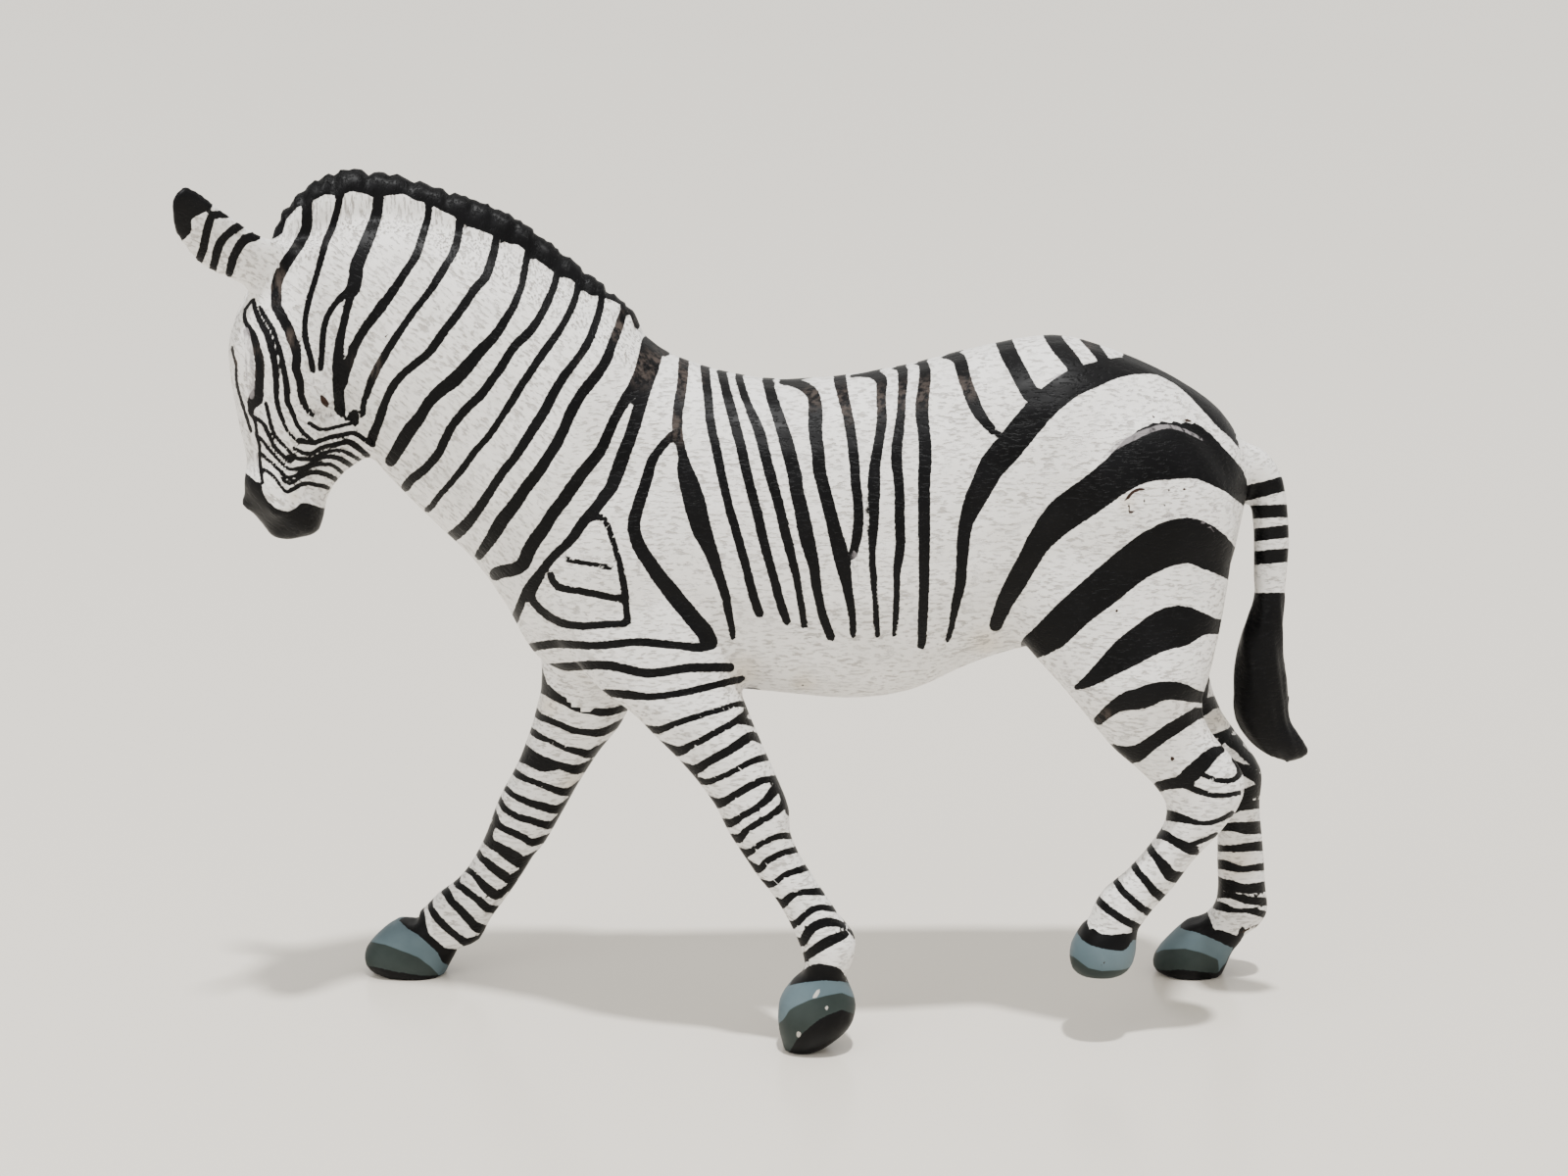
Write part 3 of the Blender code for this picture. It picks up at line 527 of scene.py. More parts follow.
RIGHT_FORELEG_STRIPES = {
    "fore_1": [
        (551, 690, 6), (553, 700, 9), (558, 704, 9), (567, 711, 7), (575, 715, 6), (584, 720, 6),
        (592, 723, 6), (603, 725, 6), (614, 727, 6), (624, 726, 6), (635, 723, 5), (641, 721, 5),
    ],
    "fore_2": [
        (545, 724, 4), (549, 730, 5), (556, 733, 5), (565, 737, 4.5), (575, 741, 4.5), (584, 745, 5),
        (597, 747, 5), (607, 748, 6), (618, 746, 6), (627, 741, 4),
    ],
    "fore_3": [
        (543, 746, 4), (548, 750, 5), (556, 754, 4), (565, 758, 3.5), (575, 763, 3.5), (586, 766, 5),
        (595, 768, 6), (603, 769, 7), (612, 764, 6),
    ],
    "fore_4": [
        (532, 772, 8), (541, 775, 11), (552, 779, 14), (562, 781, 11), (570, 781, 6), (580, 784, 7),
        (590, 785, 8), (599, 782, 7),
    ],
    "fore_4_branch": [(537, 763, 3), (541, 767, 4), (548, 771, 4)],
    "fore_5": [
        (525, 787, 4), (529, 791, 5), (537, 795, 4), (548, 799, 4), (558, 803, 5), (569, 807, 6),
        (577, 808, 6), (586, 806, 7), (593, 799, 5),
    ],
    "fore_6": [
        (518, 806, 4), (523, 811, 4), (533, 816, 5), (543, 820, 6), (554, 823, 7), (565, 826, 7),
        (575, 823, 6), (582, 816, 4),
    ],
    "fore_7": [
        (510, 816, 4), (513, 823, 4), (520, 829, 4.5), (530, 834, 5), (541, 837, 5.5), (554, 841, 6),
        (564, 841, 6), (571, 834, 4),
    ],
    "fore_8": [
        (505, 832, 4), (507, 839, 5), (513, 845, 5), (524, 850, 5.5), (535, 855, 6), (543, 860, 6),
        (552, 857, 5),
    ],
    "fore_9": [
        (500, 850, 4), (497, 857, 7), (507, 864, 8), (518, 871, 11), (526, 876, 12), (534, 880, 9),
        (539, 877, 6),
    ],
    "fore_10": [
        (488, 870, 3), (490, 874, 4), (496, 879, 6), (501, 884, 7), (508, 889, 8), (515, 894, 8),
        (521, 897, 7), (526, 893, 3),
    ],
    "fore_11": [
        (476, 887, 6), (481, 890, 4), (487, 896, 5), (492, 902, 7), (498, 908, 8), (504, 912, 8),
        (509, 913, 6), (518, 906, 3),
    ],
    "fore_12": [
        (467, 896, 3), (466, 901, 5), (472, 906, 5), (479, 912, 5.5), (486, 917, 5.5), (492, 922, 6.5),
        (498, 927, 7), (504, 928, 6),
    ],
    "fore_13": [
        (454, 908, 6), (457, 913, 7), (461, 920, 6), (467, 926, 6.5), (474, 933, 7), (481, 941, 7),
        (488, 947, 8), (493, 948, 6),
    ],
    "fore_14": [
        (440, 917, 2), (439, 922, 3), (441, 929, 5), (446, 937, 6), (452, 943, 6), (458, 949, 5.5),
        (466, 955, 5), (474, 961, 7), (481, 962, 9), (488, 959, 5),
    ],
}

RIGHT_HINDLEG_STRIPES = {
    "hind_1": [(1231, 693, 5), (1229, 703, 7)],
    "hind_2": [(1226, 725, 8), (1231, 721, 11), (1237, 717, 11), (1244, 716, 9)],
    "hind_3": [(1244, 750, 3), (1250, 748, 4), (1257, 744, 4), (1260, 737, 4)],
    "hind_4": [
        (1245, 758, 3), (1249, 753, 7), (1256, 757, 9), (1264, 763, 8), (1273, 772, 8), (1282, 779, 8),
    ],
    "hind_5": [(1268, 753, 8), (1273, 752, 7)],
    "hind_6": [(1266, 784, 6), (1273, 788, 9), (1283, 794, 8)],
    "hind_7": [(1266, 815, 8), (1273, 810, 10), (1284, 806, 11)],
    "hind_8": [(1257, 828, 3), (1264, 824, 6), (1274, 822, 7), (1286, 820, 8)],
    "hind_9": [(1248, 844, 4), (1255, 844, 7), (1261, 844, 8), (1273, 845, 11), (1288, 844, 11)],
    "hind_10": [(1240, 865, 5), (1256, 866, 5), (1269, 865, 7), (1290, 863, 9)],
    "hind_11": [
        (1240, 882, 7), (1247, 882, 8), (1254, 884, 7), (1265, 887, 5), (1276, 886, 5), (1292, 884, 7),
    ],
    "hind_12": [
        (1240, 898, 6), (1248, 903, 10), (1256, 904, 10), (1265, 906, 8), (1275, 907, 8),
        (1294, 904, 9),
    ],
    "hind_13": [(1238, 913, 7), (1252, 913, 5), (1263, 916, 5), (1275, 919, 6), (1294, 920, 7)],
    "hind_14": [
        (1238, 923, 6), (1250, 926, 7), (1258, 929, 3), (1271, 929, 3.5), (1282, 931, 5),
        (1294, 934, 5),
    ],
    "heel": [(1264, 959, 4), (1259, 972, 3), (1252, 985, 3), (1245, 994, 4)],
}

TAIL_STRIPES = {
    "tail_1": [(1264, 505, 13), (1290, 499, 13), (1316, 492, 13)],
    "tail_2": [(1268, 523, 11), (1293, 522, 11), (1320, 521, 11)],
    "tail_3": [(1272, 547, 11), (1297, 544, 11), (1322, 541, 11)],
    "tail_4": [(1272, 570, 12), (1297, 568, 12), (1322, 566, 12)],
}

# Areas of one paint, as outlines: points of the photograph, past the figurine where it ends.
MUZZLE = [
    (238, 476), (250, 482), (255, 486), (261, 491), (267, 493), (268, 502), (273, 511), (281, 518),
    (288, 521), (294, 522), (301, 519), (306, 514), (312, 513), (319, 515), (328, 518), (344, 519),
    (344, 562), (238, 562),
]
MANE_EDGE = [
    (262, 252), (288, 239), (292, 224), (303, 212), (312, 207), (321, 204), (333, 198), (340, 200),
    (348, 199), (360, 195), (372, 198), (380, 201), (390, 200), (402, 199), (412, 198), (423, 204),
    (435, 207), (450, 215), (465, 222), (477, 231), (492, 236), (507, 242), (519, 249), (528, 249),
    (537, 257), (549, 266), (561, 275), (570, 281), (582, 285), (591, 293), (603, 302), (609, 302),
    (621, 305), (633, 311), (640, 316), (650, 338), (662, 320), (640, 270), (560, 210), (480, 160),
    (400, 140), (320, 150), (262, 190),
]
EAR_TIP = [
    (222, 190), (216, 213), (195, 223), (196, 236), (185, 247), (160, 250), (160, 180),
]
TUFT = [(1240, 606), (1345, 604), (1345, 800), (1240, 800)]
CORONETS = {
    "right_foreleg": [
        (395, 926), (432, 928), (435, 946), (438, 954), (447, 962), (454, 968), (466, 969), (462, 986),
        (452, 982), (447, 972), (438, 963), (427, 954), (415, 946), (409, 940),
    ],
    "left_foreleg": [
        (812, 996), (823, 988), (829, 985), (835, 984), (845, 985), (853, 987), (858, 990), (864, 999),
        (870, 1004), (861, 1001), (844, 1000), (827, 1001), (815, 1003), (800, 1006),
    ],
    "left_hindleg": [
        (1096, 934), (1111, 930), (1109, 942), (1111, 949), (1116, 948), (1122, 953), (1135, 954),
        (1152, 953), (1158, 950), (1168, 946), (1166, 960), (1156, 958), (1150, 967), (1145, 970),
        (1128, 968), (1113, 964), (1105, 959), (1099, 951),
    ],
    "right_hindleg": [
        (1190, 944), (1205, 933), (1222, 928), (1232, 932), (1236, 943), (1239, 950), (1246, 949),
        (1258, 954), (1268, 958), (1262, 968), (1254, 965), (1239, 958), (1222, 951), (1205, 947),
    ],
}
HOOVES = {
    "right_foreleg": [
        (360, 920), (395, 926), (432, 928), (435, 946), (447, 962), (466, 969), (466, 1010),
        (360, 1010),
    ],
    "left_foreleg": [
        (780, 1000), (812, 996), (823, 988), (853, 987), (864, 999), (890, 1004), (890, 1085),
        (780, 1085),
    ],
    "left_hindleg": [
        (1080, 934), (1111, 930), (1111, 949), (1135, 954), (1158, 950), (1180, 946), (1180, 1010),
        (1080, 1010),
    ],
    "right_hindleg": [
        (1160, 940), (1205, 945), (1231, 938), (1239, 950), (1258, 954), (1275, 960), (1275, 1015),
        (1160, 1015),
    ],
}
LOWER_BANDS = {
    "right_foreleg": [
        (360, 958), (384, 962), (393, 964), (404, 968), (415, 972), (427, 977), (438, 985), (446, 993),
        (455, 1005), (360, 1010),
    ],
    "left_foreleg": [
        (785, 1052), (800, 1040), (805, 1031), (811, 1027), (827, 1020), (843, 1016), (859, 1013),
        (866, 1016), (890, 1024), (890, 1085), (785, 1085),
    ],
    "left_hindleg": [
        (1080, 970), (1095, 976), (1103, 982), (1111, 988), (1124, 991), (1141, 990), (1148, 989),
        (1160, 984), (1180, 1010), (1080, 1010),
    ],
    "right_hindleg": [
        (1165, 976), (1177, 974), (1186, 969), (1209, 968), (1226, 972), (1243, 979), (1244, 989),
        (1238, 1012), (1165, 1012),
    ],
}
# Black under the hooves: the left fore's dark sole, and painted contact shadow under the right fore
# and right hind where they meet the floor.
SOLES_AND_CONTACT_SHADE = {
    "left_foreleg": [
        (805, 1075), (813, 1062), (819, 1055), (827, 1048), (835, 1041), (843, 1037), (851, 1034),
        (859, 1031), (871, 1035), (885, 1040), (885, 1085), (805, 1085),
    ],
    "right_foreleg": [
        (355, 979), (374, 986), (390, 989), (408, 993), (430, 996), (460, 996), (460, 1015),
        (355, 1015),
    ],
    "right_hindleg": [
        (1160, 982), (1178, 989), (1190, 991), (1205, 990), (1225, 992), (1243, 994), (1260, 1000),
        (1260, 1015), (1160, 1015),
    ],
}

# Where the black is worn or brushed thin: a point of the photograph and a radius.
WORN_SPOTS = [
    (282, 290, 26), (296, 345, 16), (634, 335, 26), (656, 375, 30), (668, 372, 26), (697, 385, 34),
    (693, 436, 26), (830, 405, 20), (862, 412, 30), (898, 410, 28), (921, 405, 24), (942, 400, 24),
    (986, 395, 22), (1105, 352, 18), (600, 370, 14), (250, 370, 30), (1128, 731, 12), (375, 372, 26),
]
# Where the paint is warmer, as by handling.
WARM_SPOTS = [
    (757, 686, 30), (1005, 655, 26), (1150, 513, 14), (560, 720, 18), (585, 800, 22), (300, 507, 10),
    (1244, 735, 24), (1262, 880, 30), (820, 700, 22), (590, 830, 24),
]
# Small marks on the near side: the eye and brown specks, grey brushwork, pale spots, and painted
# shade: grey down the forehead, in the eye's crease and under the eye, and a dark line at the right
# hind's heel.
BROWN_STROKES = {
    "eye": [(327, 404, 3), (329.5, 407.5, 6), (331.5, 410.5, 6.5), (334.5, 414, 4.5)],
    "hook": [
        (1167, 499, 3), (1160, 500, 3), (1153, 504.5, 3.5), (1149, 510, 4), (1150, 515, 3.5),
        (1153, 519.5, 3), (1153, 525, 3),
    ],
    "hook_foot": [(1153, 521.5, 2), (1160, 523, 2), (1163.5, 526, 2)],
    "hook_side": [(1162, 503.5, 2.5), (1166, 507, 2.5), (1168, 512.5, 2), (1172, 517, 2)],
    "tick_1": [(1133, 447, 3.5), (1135, 448, 3)],
    "tick_2": [(1138, 443, 3), (1140, 446, 3)],
    "tick_3": [(1143, 440, 3), (1145, 442, 3)],
    "tick_4": [(1186, 513, 1.5), (1190, 517, 1.5), (1194, 522, 1.5)],
    "tick_5": [(1207, 429, 3), (1212, 429.5, 3.5), (1216, 430.5, 2)],
    "tick_6": [(1164, 415, 2), (1166, 418, 1.5)],
    "tick_7": [(1170, 420, 1.5), (1174, 423, 2), (1178, 426, 1.5)],
    "tick_8": [(1178, 429, 1.5), (1181, 431, 2)],
    "speck_1": [(1192, 500, 3.5), (1193, 502, 3.5)],
    "speck_2": [(1208, 498, 4), (1210, 500, 3.5)],
    "speck_3": [(1190, 494, 2.5), (1190, 496, 2)],
    "speck_4": [(1143, 553, 3), (1144, 554, 3)],
    "speck_5": [(1120, 534, 3.5), (1118, 536, 2.5)],
    "speck_6": [(1139, 623, 3.5), (1140, 624, 3)],
    "speck_7": [(392, 342, 3.5), (393, 343, 3)],
    "speck_8": [(396, 336, 2.5), (399, 337, 2.5)],
    "speck_9": [(929, 637, 3.5), (930, 638, 3)],
    "speck_10": [(1196, 774, 4.5), (1197, 775, 4)],
    "speck_11": [(819, 699, 2), (822, 702, 2)],
    "hoof_scratch_1": [(1117, 972.5, 1.6), (1116, 975.5, 1.6)],
    "hoof_scratch_2": [(1129, 976, 1.8), (1128, 980, 1.8)],
    "hoof_scratch_3": [(1114, 980, 1.6), (1111, 983, 1.6)],
    "hoof_scratch_4": [(1126.5, 982, 1.6), (1124, 985.5, 1.6)],
    # Painted shade: a thin dark line along the right hind's heel, at its outline.
    "heel_painted_shade": [(1265, 952, 2), (1276, 947, 2), (1286, 943, 2)],
}
GREY_PAINT_AND_SHADE = {
    "thigh_gap": [
        (1124, 469, 2), (1133, 461, 4), (1143, 453, 6), (1155, 447, 6.5), (1168, 441, 5.5),
        (1181, 436.5, 5), (1193, 435, 4), (1205, 438, 3.5), (1217, 443, 3), (1228, 449, 2),
    ],
    "thigh_2_gap": [
        (1157, 541, 2), (1170, 533, 2.5), (1185, 528, 3), (1201, 526, 3.5), (1217, 528, 3),
        (1230, 535, 2.5), (1240, 543, 2),
    ],
    "streak": [(1065, 390, 2), (1077, 385, 2.5), (1088, 379, 2)],
    "wedge": [(871, 566, 8), (873, 578, 6), (875, 596, 2)],
    # Painted shade: grey down the forehead beside the blaze, where its surface curves away.
    "forehead_shade": [(251, 337, 6), (254, 355, 8), (255, 375, 9), (256, 395, 8), (257, 405, 5)],
    # Painted shade under the eye, in the socket's hollow.
    "under_eye_shade": [(320, 419, 3), (327, 423, 5), (335, 424, 5), (342, 420, 4)],
    # Painted shade in the crease above the eye.
    "eye_crease_shade": [(319, 380, 1.6), (320, 390, 1.8), (323, 399, 2), (327, 404, 2.4)],
    "nose_fine_1": [(258, 460, 1.6), (259, 475, 1.6), (260, 488, 1.6)],
    "nose_fine_2": [(262, 462, 1.6), (263, 476, 1.6), (264, 490, 1.6)],
}
PALE_STROKES = {
    "spot_1": [(843, 1028, 4.5), (843, 1030, 4.5)],
    "spot_2": [(815, 1054.5, 4.5), (815, 1056.5, 4.5)],
    "brushed": [(831, 1018, 4), (834, 1013, 4), (837, 1009, 3)],
}
# Lines pressed into the head: the brow, the eye's lids and socket, and the jaw.
CREASES = {
    "brow": [(314, 372, 3), (319, 386, 4), (323, 398, 4), (327, 404, 3)],
    "upper_lid": [(326, 402, 2.5), (332, 404, 2.5), (337, 410, 2.5)],
    "lower_lid": [(325, 408, 2.5), (329, 414, 3), (335, 417, 3)],
    "socket": [(316, 414, 5), (324, 422, 6), (334, 424, 6), (343, 420, 4)],
    "jaw_edge": [(352, 400, 4), (354, 412, 4), (358, 422, 4), (366, 438, 4), (378, 452, 4)],
}
# Notches between the mane's locks: a point of the crest and half the notch's width.
NOTCHES = [
    (286, 231, 2.5), (293, 216, 4), (308, 201, 4), (324, 190, 2), (340, 184, 5), (357, 178, 2),
    (375, 178, 5), (398, 180, 2), (420, 187, 4), (441, 190, 2), (458, 200, 4), (482, 213, 3),
    (503, 224, 4), (527, 233, 3), (549, 246, 4), (574, 262, 3), (597, 279, 4), (622, 296, 3),
]


def photo_points(places):
    """Where points of the figurine, in metres, fall in the photograph, in pixels."""
    offset = places - np.array(PHOTO_CAMERA)
    level = math.cos(PHOTO_TILT)
    steep = math.sin(PHOTO_TILT)
    depth = offset[:, 1] * level - offset[:, 2] * steep
    up = offset[:, 1] * steep + offset[:, 2] * level
    across = PHOTO_SIZE[0] / 2 + PHOTO_FOCAL * offset[:, 0] / depth
    down = PHOTO_SIZE[1] / 2 - PHOTO_FOCAL * up / depth
    return np.column_stack((across, down))


def segment_distance(points, start, end):
    """Distance of points to a segment, and the share of the way along it."""
    along = end - start
    share = np.clip((points - start) @ along / max(along @ along, 1e-12), 0.0, 1.0)
    return np.linalg.norm(points - start - share[:, None] * along, axis=1), share


def rounded_stroke(stroke, reach):
    """A stroke's points with a smooth curve through them, run on by a reach at its ends."""
    points = np.array(stroke, dtype=float)
    for end, inner in ((0, 1), (-1, -2)):
        along = points[end, :2] - points[inner, :2]
        points[end, :2] += along / max(math.hypot(*along), 1e-9) * reach
    rows = [points[0]]
    last = len(points) - 1
    for i in range(last):
        before = points[max(i - 1, 0)]
        start = points[i]
        end = points[i + 1]
        after = points[min(i + 2, last)]
        middle = (start + end) * NEXT_SHARE - (before + after) * (NEXT_SHARE - 0.5)
        rows.extend((middle, end))
    return np.array(rows)


def strokes_distance(pixels, strokes, distance, spread=0.0, reach=0.0):
    """Lowers distance to that of the nearest stroke's edge: negative is inside it."""
    for stroke in strokes.values():
        path = rounded_stroke(stroke, reach)
        low = path[:, :2].min(0) - PAINT_REACH * 2.0
        high = path[:, :2].max(0) + PAINT_REACH * 2.0
        near = np.nonzero(np.all((pixels > low) & (pixels < high), axis=1))[0]
        if len(near) == 0:
            continue
        points = pixels[near]
        best = distance[near]
        for start, end in zip(path, path[1:]):
            away, share = segment_distance(points, start[:2], end[:2])
            half = (start[2] + (end[2] - start[2]) * share) / 2.0 + spread
            best = np.minimum(best, away - half)
        distance[near] = best
    return distance


def area_distance(pixels, outline):
    """Distance to an outline, negative inside it."""
    corners = np.array(outline, dtype=float)
    distance = np.full(len(pixels), PAINT_REACH * 4.0)
    inside = np.zeros(len(pixels), dtype=bool)
    for start, end in zip(corners, np.roll(corners, -1, axis=0)):
        away, _share = segment_distance(pixels, start, end)
        distance = np.minimum(distance, away)
        crosses = (start[1] > pixels[:, 1]) != (end[1] > pixels[:, 1])
        rise = end[1] - start[1]
        if rise != 0.0:
            meets = start[0] + (pixels[:, 1] - start[1]) * (end[0] - start[0]) / rise
            inside ^= crosses & (pixels[:, 0] < meets)
    return np.where(inside, -distance, distance)


def spots(pixels, table):
    """1 at the middle of the nearest spot, fading to 0 at its radius."""
    strength = np.zeros(len(pixels))
    for across, down, radius in table:
        away = np.hypot(pixels[:, 0] - across, pixels[:, 1] - down)
        strength = np.maximum(strength, np.clip(1.0 - away / radius, 0.0, 1.0))
    return strength


def ease(values, low, high):
    """0 below low, 1 above high, and smooth between them."""
    share = np.clip((values - low) / (high - low), 0.0, 1.0)
    return share * share * (3.0 - 2.0 * share)


class Surface:
    """The figurine's vertices, which part of the animal each is on, and its paint."""

    def __init__(self, mesh):
        count = len(mesh.vertices)
        flat = np.empty(count * 3)
        mesh.vertices.foreach_get("co", flat)
        self.places = flat.reshape(-1, 3)
        flat = np.empty(count * 3)
        mesh.vertices.foreach_get("normal", flat)
        self.normals = flat.reshape(-1, 3)
        self.split()

    def split(self):
        """Masks of the legs, tail, ears and head."""
        x, y, z = self.places.T
        self.parts = {}
        for name, (belly_end, top) in LEG_ROOMS.items():
            beside = y > RIGHT_LEGS_FROM if name.startswith("right") else y < LEFT_LEGS_TO
            along = x < belly_end * MM if name.endswith("foreleg") else x > belly_end * MM
            self.parts[name] = beside & along & (z < top * MM)
        line = np.array([(a * MM, BODY_PLANE, b * MM) for a, b in TAIL_LINE])
        away = np.full(len(self.places), 1.0)
        for start, end in zip(line, line[1:]):
            away = np.minimum(away, segment_distance(self.places, start, end)[0])
        behind = x > np.interp(z, line[::-1, 2], line[::-1, 0])
        self.tail = (away < TAIL_RADIUS) | (behind & (np.abs(y - BODY_PLANE) < TAIL_RADIUS))
        self.tail &= (z > line[-1, 2] - 2.0 * MM) & (z < line[0, 2] + 4.0 * MM)
        for name in ("left_hindleg", "right_hindleg"):
            self.parts[name] &= ~self.tail
        near, share = segment_distance(self.places, *map(np.array, NEAR_EAR))
        slim = 0.5 + 0.5 * ease(share, 0.15, 0.5)
        self.near_ear = (near < EAR_RADIUS * slim) & (share > 0.2)
        far, share = segment_distance(self.places, *map(np.array, FAR_EAR))
        self.far_ear = (far < EAR_RADIUS * 0.7) & (share > 0.3) & ~self.near_ear
        self.ahead = np.array((-math.cos(HEAD_YAW), -math.sin(HEAD_YAW), 0.0))
        self.left = np.array((math.sin(HEAD_YAW), -math.cos(HEAD_YAW), 0.0))
        self.pivot = np.array((*HEAD_PIVOT, 0.0))
        self.reach = (self.places - self.pivot) @ self.ahead
        room = (z < HEAD_TOP) * (x < HEAD_BACK)
        self.head = ease(self.reach, -1.0 * MM, 1.5 * MM) * room

    def towards_camera(self):
        """How squarely each place faces the photograph's camera."""
        to_camera = np.array(PHOTO_CAMERA) - self.places
        to_camera /= np.linalg.norm(to_camera, axis=1)[:, None]
        return np.sum(to_camera * self.normals, axis=1)

    def body_mirror(self):
        """The places folded onto the animal's near side, about the middle of each part."""
        folded = self.places.copy()
        x, y, z = self.places.T
        bend = np.clip((CREST_BEND_START - x) / (CREST_BEND_START - CREST_BEND_END), 0.0, 1.0)
        middle = BODY_PLANE + CREST_BEND * bend * (z > CREST_FROM)
        for name, mask in self.parts.items():
            heights, sides = np.array(LEG_PLANES[name]).T * MM
            middle = np.where(mask, np.interp(z, heights, sides), middle)
        middle = np.where(self.tail, BODY_PLANE, middle)
        folded[:, 1] = middle - np.abs(y - middle)
        return folded

    def head_mirror(self):
        """The places folded onto the near side of the turned head."""
        side = (self.places - self.pivot) @ self.left
        return self.places + np.outer(np.abs(side) - side, self.left)

    def black(self):
        """Distance to black paint, in pixels, with the painted contact shadow under the hooves and the
        painted shade behind a fetlock.
        """
        direct = photo_points(self.places)
        folded = photo_points(self.body_mirror())
        turned = photo_points(self.head_mirror())
        seen = ease(self.towards_camera(), 0.0, 0.2)
        of_body = self.main_black(folded)
        of_head = seen * self.main_black(direct) + (1.0 - seen) * self.main_black(turned)
        distance = of_body * (1.0 - self.head) + of_head * self.head
        own_stripes = (
            ("right_foreleg", RIGHT_FORELEG_STRIPES), ("right_hindleg", RIGHT_HINDLEG_STRIPES),
        )
        for name, table in own_stripes:
            mask = self.parts[name]
            alone = np.full(len(distance), PAINT_REACH * 2.0)
            strokes_distance(folded, table, alone, THIN_SPREAD, RING_REACH)
            distance = np.where(mask, alone, distance)
        # The coronets' black paint, and the soles' black, which under the right fore and right hind is
        # painted contact shadow.
        for table in (CORONETS, SOLES_AND_CONTACT_SHADE):
            for name, outline in table.items():
                edge = area_distance(folded, outline) - CORONET_SPREAD
                mask = self.parts[name]
                distance = np.where(mask, np.minimum(distance, edge), distance)
        alone = np.full(len(distance), PAINT_REACH * 2.0)
        strokes_distance(folded, TAIL_STRIPES, alone, THIN_SPREAD)
        alone = np.minimum(alone, area_distance(folded, TUFT))
        distance = np.where(self.tail, alone, distance)
        alone = np.full(len(distance), PAINT_REACH * 2.0)
        strokes_distance(direct, EAR_STRIPES, alone)
        alone = np.minimum(alone, area_distance(direct, EAR_TIP))
        return np.where(self.near_ear | self.far_ear, alone, distance)

    def main_black(self, pixels):
        """Distance to the black of the trunk, neck, near legs, mane and face."""
        distance = np.full(len(pixels), PAINT_REACH * 2.0)
        strokes_distance(pixels, NEAR_STRIPES, distance, BODY_SPREAD)
        strokes_distance(pixels, NEAR_LEG_STRIPES, distance, THIN_SPREAD)
        strokes_distance(pixels, NEAR_RINGS, distance, THIN_SPREAD, RING_REACH)
        strokes_distance(pixels, FACE_STRIPES, distance, FACE_SPREAD)
        for outline in (MUZZLE, MANE_EDGE):
            distance = np.minimum(distance, area_distance(pixels, outline))
        return distance

    def mane(self, pixels):
        """1 on the mane's hair, fading to 0 at its root on the neck."""
        mane = ease(-area_distance(pixels, MANE_EDGE), -44.0, -34.0)
        return mane * (self.places[:, 2] > MANE_FROM) * ~(self.near_ear | self.far_ear)

    def neck(self, pixels):
        """1 on the neck and shoulder, where the fur lies steeper, and 0 on the body."""
        across = pixels[:, 0] + NECK_FUR_SLANT * (pixels[:, 1] - NECK_FUR_LEVEL)
        return ease(-across, -NECK_FUR[1], -NECK_FUR[0])

    def small(self, strokes, both_sides=False):
        """Distance to small strokes of the near side, and of the head's far side."""
        direct = photo_points(self.places)
        distance = np.full(len(direct), PAINT_REACH)
        strokes_distance(direct, strokes, distance)
        distance = np.where(self.towards_camera() > 0.0, distance, PAINT_REACH)
        if both_sides:
            turned = photo_points(self.head_mirror())
            strokes_distance(turned, strokes, distance)
        return distance

    def banded(self, outlines):
        """Distance to one of the hooves' paints, in pixels."""
        folded = photo_points(self.body_mirror())
        distance = np.full(len(folded), PAINT_REACH * 2.0)
        for name, outline in outlines.items():
            edge = area_distance(folded, outline)
            distance = np.where(self.parts[name], np.minimum(distance, edge), distance)
        return distance


class Field:
    """A number or colour of a material, which can be worked with as plain numbers are."""

    def __init__(self, tree, socket):
        self.tree = tree
        self.socket = socket

    def math(self, operation, first, second=None, third=None):
        node = self.tree.nodes.new("ShaderNodeMath")
        node.operation = operation
        for slot, value in zip(node.inputs, (first, second, third)):
            if value is not None:
                feed(self.tree, slot, value)
        return Field(self.tree, node.outputs[0])

    def __add__(self, other):
        return self.math("ADD", self, other)

    def __radd__(self, other):
        return self.math("ADD", other, self)

    def __sub__(self, other):
        return self.math("SUBTRACT", self, other)

    def __rsub__(self, other):
        return self.math("SUBTRACT", other, self)

    def __mul__(self, other):
        return self.math("MULTIPLY", self, other)

    def __rmul__(self, other):
        return self.math("MULTIPLY", other, self)

    def __truediv__(self, other):
        return self.math("DIVIDE", self, other)

    def __rtruediv__(self, other):
        return self.math("DIVIDE", other, self)

    def least(self, other):
        return self.math("MINIMUM", self, other)

    def most(self, other):
        return self.math("MAXIMUM", self, other)

    def between(self, low, high):
        """0 at low and 1 at high, smooth between them; low may be the larger."""
        node = self.tree.nodes.new("ShaderNodeMapRange")
        node.interpolation_type = "SMOOTHSTEP"
        feed(self.tree, node.inputs["Value"], self)
        feed(self.tree, node.inputs["From Min"], low)
        feed(self.tree, node.inputs["From Max"], high)
        return Field(self.tree, node.outputs["Result"])


def feed(tree, slot, value):
    """Puts a field or a plain value into an input."""
    if isinstance(value, Field):
        tree.links.new(value.socket, slot)
    else:
        slot.default_value = value


